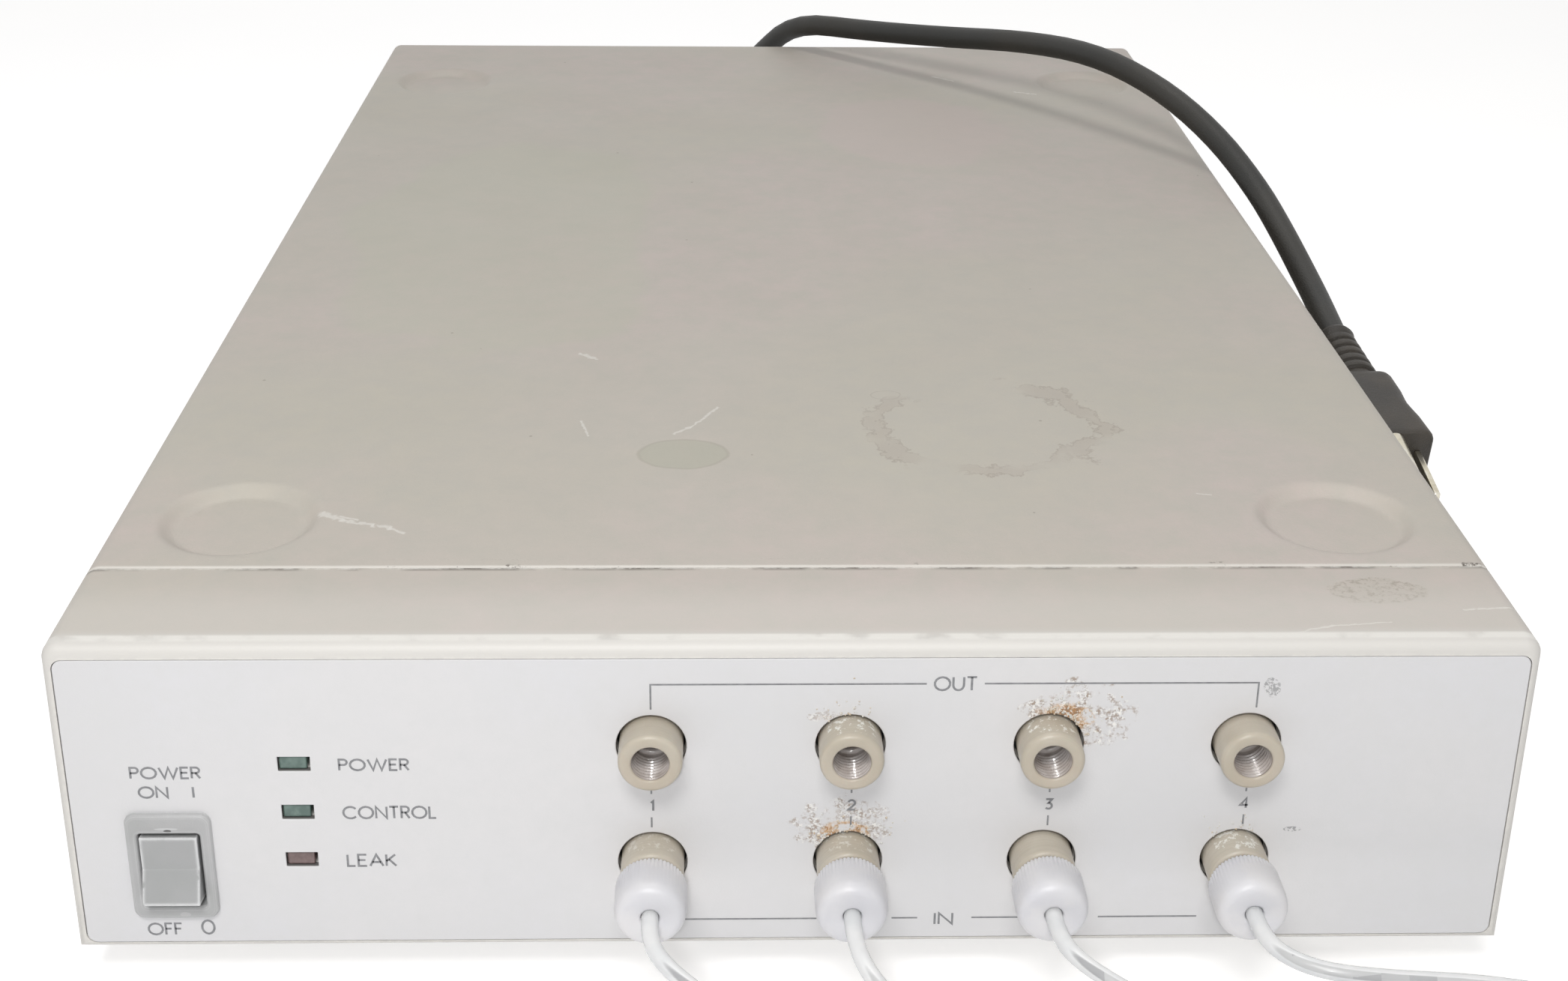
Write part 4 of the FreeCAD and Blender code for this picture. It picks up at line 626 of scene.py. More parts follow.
for rib in range(RELIEF_RIBS):
    for share, deep in ((0.12, 0.0), (0.5, 0.0), (0.62, 0.9), (0.9, 0.9)):
        along = (rib + share) / RELIEF_RIBS
        gland_profile.append((RELIEF_BASE_R + (RELIEF_TIP_R - RELIEF_BASE_R) * along - deep,
                              -RELIEF_L + RELIEF_L * along))
gland_profile += [(RELIEF_TIP_R, -0.9), (RELIEF_TIP_R - 0.3, 0.0), (0.0, 0.0)]
relief = turned("rear_relief", gland_profile, lead_rear_at, (0, 1, 0), 48)
given(relief, lead_finish, "case", "lead_jacket", "mains_gland")

# The plug: a ribbed relief that starts in a small ball, a body that widens to its face, a finger
# groove on each side of it, and three pins.
PLUG_RELIEF_L, PLUG_BODY_L = 24.0, 30.0
PLUG_BACK_W, PLUG_BACK_T, PLUG_WIDENS, PLUG_THICKENS = 15.0, 13.0, 5.0, 4.5
plug_finish = simple_finish("plug moulding", 60.0, ((50, 45, 38), (62, 55, 46), (42, 38, 33)),
                            (3200.0, 0.45), roughness=0.48)
pin_finish = simple_finish("plated pins", 300.0, ((214, 208, 190), (198, 190, 170), (222, 218, 206)),
                           metallic=1.0, roughness=0.28)
plug_at = np.array(LEAD_FRONT_ROUTE[-1])
plug_way = plug_at - np.array(LEAD_FRONT_ROUTE[-2])
plug_way /= np.linalg.norm(plug_way)
plug_side = np.cross(plug_way, (0, 0, 1.0))
plug_side /= np.linalg.norm(plug_side)
plug_up = np.cross(plug_side, plug_way)
relief_profile = [(0.0, 0.0), (3.9, 0.0), (4.5, 0.7), (4.9, 1.9), (4.5, 3.2), (3.9, 3.9)]
for rib in range(5):
    start = 4.2 + rib * 3.7
    grow = 0.32 * rib
    relief_profile += [(4.0 + grow, start), (4.75 + grow, start + 0.35), (4.85 + grow, start + 1.6),
                       (4.7 + grow, start + 2.1), (3.9 + grow, start + 2.5)]
relief_profile += [(5.6, PLUG_RELIEF_L - 0.8), (5.7, PLUG_RELIEF_L + 1.0), (0.0, PLUG_RELIEF_L + 1.0)]
plug_relief = turned("plug_relief", relief_profile, plug_at, plug_way, 40)
levels = []
for share, shrink in ((0.0, 2.6), (0.012, 1.2), (0.04, 0.4), (0.08, 0.0), (0.3, 0.0), (0.42, 0.0), (0.5, 0.0),
                      (0.6, 0.0), (0.72, 0.0), (0.96, 0.0), (0.985, 0.35), (1.0, 1.1)):
    waist = 1.5 * math.exp(-((share - 0.5) / 0.16) ** 2)
    width = PLUG_BACK_W + PLUG_WIDENS * share - shrink - waist
    thick = PLUG_BACK_T + PLUG_THICKENS * share - shrink
    levels.append((round_rect(width, thick, 3.0 - shrink * 0.4, 6), PLUG_RELIEF_L + PLUG_BODY_L * share))
plug_block = stacked("plug_block", levels, plug_at, plug_side, plug_up, plug_way)
plug = one_piece("plug", [plug_relief, plug_block])
given(plug, plug_finish, "case", "plug_moulding", "plug_body")
pins = dressed_copy("plug_pins", "plug_pins_bright", 0.35, 3, pin_finish, "pin_metal")
line_length(lead_points)


# The case's painted sheet and moulded front share one colour, a warm pale grey that has aged in
# faint green and pink clouds. Worn edges, dirt, stains and scratches are masks on top of it, and
# so are painted highlights along the seam and the front's top edge, and a darkening low on the sides.
CASE_HALF_W, CASE_TOP, CASE_LOW, REAR_Y, PANEL_Y = 130.0, 72.0, 9.0, 210.0, -210.0
patch_group, patch_in, patch_out = effect(
    "ragged patch", [("Point", "Vector", (0, 0, 0)), ("Centre", "Vector", (0, 0, 0)),
                     ("Reach", "Vector", (0.01, 0.01, 0.01)), ("Ragged", "Float", 0.3),
                     ("Scale", "Float", 200.0)], [("Mask", "Float"), ("Rim", "Float")])
offset = vector(patch_group, "SUBTRACT", patch_in["Point"], patch_in["Centre"])
length = vector(patch_group, "LENGTH", vector(patch_group, "DIVIDE", offset, patch_in["Reach"]))
uneven = noise(patch_group, patch_in["Point"], patch_in["Scale"], detail=5.0)
rag = product(patch_group, maths(patch_group, "SUBTRACT", uneven, 0.5), patch_in["Ragged"])
edge_at = maths(patch_group, "ADD", length, rag)
patch_group.links.new(ramp(patch_group, edge_at, 1.0, 0.86), patch_out.inputs["Mask"])
rim_off = maths(patch_group, "ABSOLUTE", maths(patch_group, "SUBTRACT", edge_at, 0.93))
patch_group.links.new(ramp(patch_group, rim_off, 0.07, 0.01), patch_out.inputs["Rim"])

scratch_group, scratch_in, scratch_out = effect("scratch",
                                                [("Point", "Vector", (0, 0, 0)),
                                                 ("Start", "Vector", (0, 0, 0)),
                                                 ("End", "Vector", (0.01, 0, 0)),
                                                 ("Width", "Float", 0.0005)], [("Mask", "Float")])
wobble = joined(scratch_group, "ShaderNodeTexNoise", {"Vector": scratch_in["Point"], "Scale": 700.0,
                                                      "Detail": 4.0}).outputs["Color"]
wobble_by = vector(scratch_group, "SUBTRACT", wobble, (0.5, 0.5, 0.5))
wobble_far = scaled(scratch_group, wobble_by, product(scratch_group, scratch_in["Width"], 3.0))
moved = vector(scratch_group, "ADD", scratch_in["Point"], wobble_far)
run = vector(scratch_group, "SUBTRACT", scratch_in["End"], scratch_in["Start"])
gone = vector(scratch_group, "SUBTRACT", moved, scratch_in["Start"])
along_share = maths(scratch_group, "DIVIDE", vector(scratch_group, "DOT_PRODUCT", gone, run),
                    vector(scratch_group, "DOT_PRODUCT", run, run), clamp=True)
away = vector(scratch_group, "DISTANCE", gone, scaled(scratch_group, run, along_share))
widths = maths(scratch_group, "DIVIDE", away, scratch_in["Width"])
scratch_group.links.new(ramp(scratch_group, widths, 1.0, 0.3), scratch_out.inputs["Mask"])


def patch(tree, point, centre, reach, ragged, scale):
    """A ragged patch round a place, its reach along each axis in millimetres; returns its masks."""
    return placed(tree, patch_group, Point=point, Centre=metres(*centre), Reach=metres(*reach), Ragged=ragged,
                  Scale=scale)


def marked(tree, point, tone, marks):
    """Patches of other colours: each is a centre, a reach, how ragged, a scale, a colour, a strength."""
    for centre, reach, ragged, scale, colour, strength in marks:
        mask = patch(tree, point, centre, reach, ragged, scale)["Mask"]
        tone = painted(tree, tone, colour, mask, strength)
    return tone


def scratched(tree, point, tone, marks, strength, colour):
    """Scratches on the top: each mark is a start, an end and a width in millimetres."""
    for start, end, width in marks:
        mark = placed(tree, scratch_group, Point=point, Start=metres(*start, CASE_TOP),
                      End=metres(*end, CASE_TOP), Width=width * MM)["Mask"]
        tone = painted(tree, tone, colour, mark, strength)
    return tone


def case_paint(name, roughness, grain_scale, grain_depth):
    """The aged case colour with its grain; returns the material, tree, shader, point and colour."""
    made, tree, shader, point = finish_of(name, roughness=roughness, specular_ior_level=0.4)
    tone = clouded(tree, point, 9.0, (200, 193, 184), (198, 193, 181), (204, 193, 187))
    fine = ramp(tree, noise(tree, point, 130.0, detail=6.0, roughness=0.7), 0.3, 0.75, smooth=False)
    tone = painted(tree, tone, (193, 189, 180), fine)
    grained(tree, shader, point, grain_scale, grain_depth)
    return made, tree, shader, point, tone


def worn_and_highlit_edges(tree, point, colour, edge_tone, share):
    """Lighter edges: bare worn paint on the case, and a painted highlight on the switch frame and the
    rocker. They lie where a bevelled normal departs from the face's own normal, and noise breaks their line
    up."""
    bevel = joined(tree, "ShaderNodeBevel", {"Radius": 1.2 * MM}, samples=6)
    true_normal = joined(tree, "ShaderNodeNewGeometry").outputs["True Normal"]
    same = vector(tree, "DOT_PRODUCT", bevel.outputs[0], true_normal)
    edge = ramp(tree, same, 0.985, 0.9)
    broken = ramp(tree, noise(tree, point, 260.0, detail=6.0, roughness=0.7), share + 0.08, share - 0.08)
    return blended(tree, product(tree, edge, broken), colour, edge_tone)


cover_finish, tree, shader, point, tone = case_paint("cover paint", 0.5, 1500.0, 0.16)
tone = marked(tree, point, tone, (
    ((44, 104, CASE_TOP), (34, 40, 20), 1.4, 14.0, (206, 192, 188), 0.5),
    ((-70, 0, CASE_TOP), (40, 90, 20), 1.6, 12.0, (194, 194, 178), 0.4)))
RING_AT, RING_R, RING_RAGGED, RING_HALF_W = (43, -118), 23.5, 26.0, 2.6
ring_point = vector(tree, "SUBTRACT", point, metres(*RING_AT, CASE_TOP))
ring_far = vector(tree, "LENGTH", vector(tree, "MULTIPLY", ring_point, (1.0, 1.12, 1.0)))
ring_noise = maths(tree, "SUBTRACT", noise(tree, point, 90.0, detail=7.0, roughness=0.65), 0.5)
ring_edge = maths(tree, "ADD", ring_far, product(tree, ring_noise, RING_RAGGED * MM))
ring_off = maths(tree, "ABSOLUTE", maths(tree, "SUBTRACT", ring_edge, RING_R * MM))
ring_wide = rise(tree, ring_off, 3.4, 1.2)
ring_thin = rise(tree, maths(tree, "ABSOLUTE", maths(tree, "SUBTRACT", ring_off, RING_HALF_W * MM)), 0.7, 0.1)
patchy = ramp(tree, noise(tree, point, 55.0, detail=3.0), 0.4, 0.56)
tone = painted(tree, tone, (178, 168, 158), ring_wide, patchy, 0.4)
tone = painted(tree, tone, (160, 150, 140), ring_thin, patchy, 0.55)
oval = patch(tree, point, (-21.5, -132.3, CASE_TOP), (9.8, 7.6, 6.0), 0.16, 160.0)
tone = painted(tree, tone, (181, 180, 165), oval["Mask"], 0.6)
tone = painted(tree, tone, (160, 154, 142), oval["Rim"], 0.3)
small = patch(tree, point, (22.4, -101.6, CASE_TOP), (3.4, 2.6, 3.0), 0.4, 300.0)
tone = painted(tree, tone, (166, 158, 148), small["Rim"], 0.4)
COVER_SCRATCHES = (
    ((-90.8, -159.2), (-86.0, -162.4), 1.1), ((-86.0, -162.4), (-80.0, -164.6), 0.8),
    ((-80.0, -164.6), (-76.6, -165.6), 0.9), ((-76.6, -165.6), (-73.4, -168.0), 0.6),
    ((-86.6, -160.6), (-83.2, -162.2), 0.5),
    ((-23.3, -122.2), (-20.2, -118.8), 0.55), ((-20.2, -118.8), (-17.3, -114.3), 0.4),
    ((-17.3, -114.3), (-14.5, -108.3), 0.5), ((-43.4, -115.6), (-41.4, -123.2), 0.35),
    ((-45.6, -77.8), (-42.4, -80.8), 0.9), ((56.6, 169.2), (62.9, 163.8), 0.6),
    ((82.0, 150.2), (88.4, 147.6), 0.7), ((81.0, -151.0), (83.6, -151.8), 0.3),
)
tone = scratched(tree, point, tone, COVER_SCRATCHES, 0.75, (226, 223, 217))
split = axes(tree, point)
# A painted highlight: a pale line along the cover's front edge at the seam.
seam_highlight = rise(tree, split["Y"], -180.6, -181.4)
tone = painted(tree, tone, (232, 229, 223), seam_highlight, 0.75)
chips = ramp(tree, noise(tree, point, 190.0, detail=6.0, roughness=0.75), 0.62, 0.66)
chip_zone = rise(tree, split["Y"], -179.2, -181.5)
tone = painted(tree, tone, (92, 84, 76), chips, chip_zone)
# Darker towards the bottom of the sides, broken up by noise.
low_darkening = product(tree, rise(tree, split["Z"], 30.0, 8.0),
                   ramp(tree, noise(tree, point, 40.0, detail=5.0), 0.42, 0.66))
tone = painted(tree, tone, (158, 150, 138), low_darkening, 0.4)
specks = placed(tree, speck_group, Point=point, Scale=130.0, Size=0.05, Share=0.16)["Mask"]
tone = painted(tree, tone, (140, 132, 120), specks, 0.5)
coloured(tree, shader, worn_and_highlit_edges(tree, point, tone, srgb(226, 223, 216), 0.46))
uneven_gloss(tree, shader, point, 30.0, 0.42, 0.58)


# The cover is one painted sheet over the top and both sides. Its section runs up one side, round
# a bend of 3 mm, over the top and down the other side. Four dimples are pressed in the top.
SHEET, BEND_R = 1.2, 3.0
DIMPLE_X, DIMPLE_YS, DIMPLE_DEEP = 105.8, (-161.3, 161.3), 2.0
DIMPLE_RIM_R, DIMPLE_FLAT_R, DIMPLE_ZONE_R = 15.9, 12.1, 16.5
COVER_FRONT_Y = -181.6


def lines_between(low, high, fine_spots, fine_step, coarse_step):
    """Places of grid lines: coarse_step apart, and fine_step apart within each fine spot."""
    marks = [low]
    for start, end in sorted(fine_spots):
        count = max(1, int(round((start - marks[-1]) / coarse_step)))
        marks += np.linspace(marks[-1], start, count + 1)[1:].tolist()
        count = int(round((end - start) / fine_step))
        marks += np.linspace(start, end, count + 1)[1:].tolist()
    count = max(1, int(round((high - marks[-1]) / coarse_step)))
    return np.array(marks + np.linspace(marks[-1], high, count + 1)[1:].tolist())


def dimple_drop(x, y):
    """How far the sheet is pressed down: deep * (3s^2 - 2s^3), s from the rim to the flat."""
    drop = 0.0 * x
    for side in (-1, 1):
        for dimple_y in DIMPLE_YS:
            away = np.hypot(x - side * DIMPLE_X, y - dimple_y)
            s = np.clip((DIMPLE_RIM_R - away) / (DIMPLE_RIM_R - DIMPLE_FLAT_R), 0, 1)
            drop = drop + DIMPLE_DEEP * s * s * (3 - 2 * s)
    return drop


side_z = np.concatenate([[CASE_LOW, CASE_LOW + 0.6], np.linspace(CASE_LOW + 2, CASE_TOP - BEND_R, 9)])
bend = np.linspace(0, math.pi / 2, 8)
xs = lines_between(-CASE_HALF_W + BEND_R, CASE_HALF_W - BEND_R,
                   [(x - DIMPLE_ZONE_R, x + DIMPLE_ZONE_R) for x in (-DIMPLE_X, DIMPLE_X)], 0.75, 8.0)
section, normals = [], []
for z in side_z[:-1]:
    section.append((-CASE_HALF_W, z))
    normals.append((-1.0, 0.0))
for angle in bend:
    section.append((-CASE_HALF_W + BEND_R * (1 - math.cos(angle)),
                    CASE_TOP - BEND_R * (1 - math.sin(angle))))
    normals.append((-math.cos(angle), math.sin(angle)))
for x in xs[1:-1]:
    section.append((x, CASE_TOP))
    normals.append((0.0, 1.0))
mirrored = [(-x, z) for x, z in section[:len(side_z) - 1 + len(bend)]][::-1]
mirrored_normals = [(-a, b) for a, b in normals[:len(side_z) - 1 + len(bend)]][::-1]
section, normals = np.array(section + mirrored), np.array(normals + mirrored_normals)
ys = np.concatenate([[COVER_FRONT_Y, COVER_FRONT_Y + 0.12, COVER_FRONT_Y + 0.4],
                     lines_between(COVER_FRONT_Y + 0.8, REAR_Y - 0.6,
                                   [(y - DIMPLE_ZONE_R, y + DIMPLE_ZONE_R) for y in DIMPLE_YS], 0.75, 12.0),
                     [REAR_Y - 0.2, REAR_Y]])
rolls = np.zeros(len(ys))
rolls[:3] = (0.42, 0.16, 0.03)
rolls[-2:] = (0.08, 0.3)
sheet_points = []
for y, roll in zip(ys, rolls):
    drop = np.where(normals[:, 1] > 0.99, dimple_drop(section[:, 0], np.full(len(section), y)), 0.0)
    for depth, way in ((roll, 1), (SHEET - roll * 0.6, -1)):
        ring = section - normals * depth
        ring = np.column_stack([ring[:, 0], np.full(len(ring), y), ring[:, 1] - drop])
        sheet_points.append(ring[::way])
around = 2 * len(section)
faces = ring_faces(len(ys), around)
for row in (0, len(ys) - 1):
    for k in range(len(section) - 1):
        faces.append([row * around + k, row * around + k + 1, row * around + around - 2 - k,
                      row * around + around - 1 - k])
cover = sealed(piece_from("cover_sheet", np.concatenate(sheet_points), faces), math.radians(35))
given(cover, cover_finish, "case", "cover_paint", "top_cover")


# The front is a moulding in the same colour, satin, paler towards its round top edge and with a thin
# bright line along that edge, both painted highlight, grey scuffs on its top and grime in the seam. The panel
# is a white printed plate in it.
bezel_finish, tree, shader, point, tone = case_paint("bezel paint", 0.46, 2200.0, 0.1)
split = axes(tree, point)
scuff = patch(tree, point, (105, -191, CASE_TOP), (9.0, 5.0, 5.0), 1.6, 160.0)["Mask"]
tone = painted(tree, tone, (186, 178, 166), scuff, 0.3)
rubbed = ramp(tree, noise(tree, point, 900.0, detail=7.0, roughness=0.75), 0.48, 0.62)
tone = painted(tree, tone, (146, 136, 122), scuff, rubbed, 0.6)
HIGHLIGHT_LINE_Y = -207.4
BEZEL_SCRATCHES = (((85.0, -207.2), (94.2, -204.2), 0.45), ((94.2, -204.2), (104.9, -203.0), 0.3),
                   ((119.3, -198.6), (129.5, -197.6), 0.4))
tone = scratched(tree, point, tone, BEZEL_SCRATCHES, 0.85, (234, 231, 225))
seam_grime = product(tree, rise(tree, split["Y"], -183.4, -182.2),
                     ramp(tree, noise(tree, point, 120.0, detail=6.0), 0.42, 0.6))
tone = painted(tree, tone, (96, 88, 80), seam_grime, 0.85)
# Painted light: the top grows paler towards the front.
front_light_share = rise(tree, split["Y"], -184.0, -200.0)
tone = painted(tree, tone, (219, 215, 209), front_light_share, 0.45)
# Paler from the front of the top over the round edge, a painted highlight; on the front face the same colour
# is the white film of the panel.
highlight_and_film = rise(tree, split["Y"], -204.0, -208.6)
tone = painted(tree, tone, (219, 217, 213), highlight_and_film, 0.9)
# A painted highlight: a thin bright line along the round top edge, broken up by noise.
highlight_line = rise(tree, maths(tree, "ABSOLUTE", maths(tree, "SUBTRACT", split["Y"], HIGHLIGHT_LINE_Y * MM)), 1.4, 0.5)
on_top = rise(tree, split["Z"], 69.0, 70.8)
shine = ramp(tree, noise(tree, point, 110.0, detail=4.0), 0.3, 0.5)
tone = painted(tree, tone, (240, 238, 233), highlight_line, on_top, shine)
coloured(tree, shader, worn_and_highlit_edges(tree, point, tone, srgb(228, 226, 220), 0.5))
dressed_copy("front_bezel", "bezel_moulding", 0.3, 3, bezel_finish, "bezel_plastic")

panel_finish, tree, shader, point = finish_of("panel plate", roughness=0.42, specular_ior_level=0.4)
split = axes(tree, point)
tone = clouded(tree, point, 16.0, (219, 219, 222), (217, 217, 219), (221, 220, 221))
fine = ramp(tree, noise(tree, point, 240.0, detail=6.0, roughness=0.7), 0.3, 0.8, smooth=False)
tone = painted(tree, tone, (217, 217, 218), fine)
grained(tree, shader, point, 2600.0, 0.06)
STAINS = (((44.4, 57.2), (49.6, 57.2), (9.6, 7.0), 1.0, 1.0),
          ((9.4, 33.6), (8.2, 35.0), (9.4, 5.8), 0.9, 1.0),
          ((4.6, 57.4), (4.6, 57.4), (3.0, 1.2), 0.6, 0.1),
          ((44.4, 58.6), (43.0, 58.9), (5.0, 2.0), 0.7, 0.3))
crumbs = noise(tree, point, 1300.0, detail=6.0, roughness=0.7)
clots = noise(tree, point, 420.0, detail=6.0, roughness=0.65)
for near_hole, centre, reach, strength, golden in STAINS:
    spread = patch(tree, point, (centre[0], PANEL_Y, centre[1]), (reach[0], 4, reach[1]), 1.3,
                   300.0)["Mask"]
    tight = patch(tree, point, (near_hole[0] * 0.45 + centre[0] * 0.55, PANEL_Y, near_hole[1] - 0.2),
                  (reach[0] * 0.52, 4, reach[1] * 0.44), 1.5, 420.0)["Mask"]
    gold = product(tree, tight, ramp(tree, clots, 0.4, 0.54))
    tone = painted(tree, tone, (206, 164, 112), gold, 0.85 * golden)
    dark = product(tree, tight, ramp(tree, clots, 0.5, 0.58))
    tone = painted(tree, tone, (170, 116, 58), dark, 0.85 * golden)
    gathered = product(tree, spread, ramp(tree, clots, 0.42, 0.6))
    brown = product(tree, gathered, ramp(tree, crumbs, 0.49, 0.53))
    tone = painted(tree, tone, (148, 126, 106), brown, 0.8 * strength)
    pale = product(tree, gathered, ramp(tree, crumbs, 0.47, 0.43))
    tone = painted(tree, tone, (243, 241, 236), pale, 0.9 * strength)
SMUDGES = (((83.0, PANEL_Y, 63.2), (1.6, 4, 2.0), (150, 150, 152)),
           ((89.4, PANEL_Y, 33.6), (1.7, 4, 0.5), (140, 140, 142)))
for centre, reach, colour in SMUDGES:
    spot = patch(tree, point, centre, reach, 1.2, 330.0)["Mask"]
    tone = painted(tree, tone, colour, spot, ramp(tree, crumbs, 0.48, 0.52), 0.8)
flyspecks = placed(tree, speck_group, Point=point, Scale=95.0, Size=0.035, Share=0.1)["Mask"]
tone = painted(tree, tone, (140, 138, 136), flyspecks, 0.55)
# Painted shade: the walls of the holes and windows inside the plate are dark.
inner = product(tree, rise(tree, split["Z"], 14.5, 16.5), rise(tree, split["Z"], 65.5, 64.0),
                rise(tree, maths(tree, "ABSOLUTE", split["X"]), 122.0, 120.0))
hole_wall_shade = product(tree, inner, rise(tree, split["Y"], -209.9, -209.6))
tone = painted(tree, tone, (78, 75, 71), hole_wall_shade, 0.85)
coloured(tree, shader, tone)
dressed_copy("front_panel", "panel_plate", 0.18, 2, panel_finish, "panel_face")


# The print on the panel is thin grey lines: a plain lettering of one stroke width, two brackets
# that gather the fittings, and a tick at each number. It lies 0.03 mm proud of the plate.
PRINT_Y = -210.03
STROKE, LINE, LETTER_GAP = 0.4, 0.32, 0.24
ARC_STEPS = 14


def arc(cx, cz, rx, rz, start, end):
    """Points on an ellipse from one angle to another, in degrees."""
    angle = np.radians(np.linspace(start, end, ARC_STEPS + 1))
    return [(cx + rx * math.cos(a), cz + rz * math.sin(a)) for a in angle]


BOWL = [(0, 0), (0, 1), (0.34, 1)] + arc(0.34, 0.75, 0.27, 0.25, 90, -90) + [(0, 0.5)]
GLYPHS = {
    "P": (0.61, [BOWL]),
    "O": (1.16, [arc(0.58, 0.5, 0.58, 0.5, 90, 450)]),
    "W": (1.46, [[(0, 1), (0.4, 0), (0.73, 1), (1.06, 0), (1.46, 1)]]),
    "E": (0.58, [[(0.58, 1), (0, 1), (0, 0), (0.58, 0)], [(0, 0.52), (0.5, 0.52)]]),
    "R": (0.64, [BOWL, [(0.3, 0.5), (0.64, 0)]]),
    "N": (0.86, [[(0, 0), (0, 1), (0.86, 0), (0.86, 1)]]),
    "F": (0.54, [[(0.54, 1), (0, 1), (0, 0)], [(0, 0.52), (0.46, 0.52)]]),
    "C": (1.02, [arc(0.58, 0.5, 0.58, 0.5, 42, 318)]),
    "T": (0.72, [[(0, 1), (0.72, 1)], [(0.36, 1), (0.36, 0)]]),
    "L": (0.52, [[(0, 1), (0, 0), (0.52, 0)]]),
    "A": (0.92, [[(0, 0), (0.46, 1), (0.92, 0)], [(0.16, 0.34), (0.76, 0.34)]]),
    "K": (0.68, [[(0, 0), (0, 1)], [(0.64, 1), (0, 0.42)], [(0.18, 0.58), (0.68, 0)]]),
    "U": (0.8, [[(0, 1), (0, 0.4)] + arc(0.4, 0.4, 0.4, 0.4, 180, 360) + [(0.8, 1)]]),
    "I": (0.02, [[(0, 0), (0, 1)]]),
    "1": (0.2, [[(0, 0.82), (0.2, 1), (0.2, 0)]]),
    "2": (0.6, [arc(0.29, 0.71, 0.29, 0.29, 165, -40) + [(0, 0), (0.6, 0)]]),
    "3": (0.6, [[(0.03, 1), (0.57, 1), (0.27, 0.6)] + arc(0.28, 0.3, 0.3, 0.3, 90, -140)]),
    "4": (0.64, [[(0.47, 0), (0.47, 1), (0, 0.3), (0.64, 0.3)]]),
}
print_points, print_faces = [], []


def stroke(points, width):
    """A flat ribbon along a line of points: each point gives two, half a width to each side along
    the mean of its two runs' normals, divided by the cosine of half the turn, up to 2.2 times."""
    line = np.array([p for k, p in enumerate(points) if k == 0 or math.dist(p, points[k - 1]) > 1e-6],
                    float)
    closed = np.linalg.norm(line[0] - line[-1]) < 1e-6
    runs = np.diff(line, axis=0)
    runs /= np.linalg.norm(runs, axis=1)[:, None]
    across = np.column_stack([-runs[:, 1], runs[:, 0]])
    before = np.vstack([across[-1:] if closed else across[:1], across])
    after = np.vstack([across, across[:1] if closed else across[-1:]])
    mean = before + after
    mean /= np.linalg.norm(mean, axis=1)[:, None]
    reach = np.minimum(1 / np.maximum(np.sum(mean * after, axis=1), 0.1), 2.2) * width / 2
    start = len(print_points)
    for (x, z), (mx, mz), far in zip(line, mean, reach):
        print_points.append((x - mx * far, PRINT_Y, z - mz * far))
        print_points.append((x + mx * far, PRINT_Y, z + mz * far))
    for k in range(len(line) - 1):
        a = start + 2 * k
        print_faces.append([a, a + 2, a + 3, a + 1])


def words(text, x0, x1, z0, z1, width=STROKE):
    """Letters between two places across and two heights; LETTER_GAP is a share of the height."""
    natural = sum(GLYPHS[letter][0] for letter in text) + LETTER_GAP * (len(text) - 1)
    stretch = (x1 - x0 - width) / (natural * (z1 - z0 - width)) if natural > 0.1 else 1.0
    tall = z1 - z0 - width
    x = x0 + width / 2
    for letter in text:
        wide, lines = GLYPHS[letter]
        for line in lines:
            stroke([(x + a * tall * stretch, z0 + width / 2 + b * tall) for a, b in line], width)
        x += (wide + LETTER_GAP) * tall * stretch


for text, x0, x1, z0, z1 in (
        ("POWER", -117.0, -104.5, 45.2, 47.8), ("ON", -115.9, -110.5, 41.2, 43.8),
        ("OFF", -117.1, -110.7, 12.0, 14.8), ("POWER", -80.5, -68.0, 46.7, 49.3),
        ("CONTROL", -80.4, -63.7, 36.7, 39.5), ("LEAK", -80.3, -71.3, 26.6, 29.4),
        ("OUT", 23.6, 31.3, 62.5, 65.5), ("IN", 25.4, 29.0, 13.2, 16.0)):
    words(text, x0, x1, z0, z1)
words("I", -106.4, -106.0, 41.2, 43.8, width=0.42)
stroke(arc(-106.15, 13.75, 1.1, 1.45, 90, 450), 0.42)
stroke([(-25.6, 59.0), (-25.6, 64.0), (22.4, 64.0)], LINE)
stroke([(32.5, 64.0), (80.5, 64.0), (80.5, 59.0)], LINE)
for start, end in ((-19.9, 4.0), (17.7, 22.4), (32.3, 41.3), (55.5, 73.6)):
    stroke([(start, 14.8), (end, 14.8)], LINE)
for text, x0, x1, tick_x in (("1", -26.0, -25.2, -25.7), ("2", 9.1, 10.7, 9.8), ("3", 44.3, 45.9, 45.1),
                             ("4", 79.3, 81.1, 80.3)):
    words(text, x0, x1, 38.0, 40.4)
    stroke([(tick_x, 36.8), (tick_x, 34.7)], LINE)
    stroke([(tick_x, 42.4), (tick_x, 41.7)], LINE)
print_finish, tree, shader, point = finish_of("grey print", roughness=0.5)
thin = ramp(tree, noise(tree, point, 900.0, detail=4.0), 0.35, 0.7)
coloured(tree, shader, blended(tree, thin, srgb(126, 127, 130), srgb(144, 145, 148)))
printed = piece_from("panel_print", print_points, print_faces)
given(printed, print_finish, "case", "panel_face")


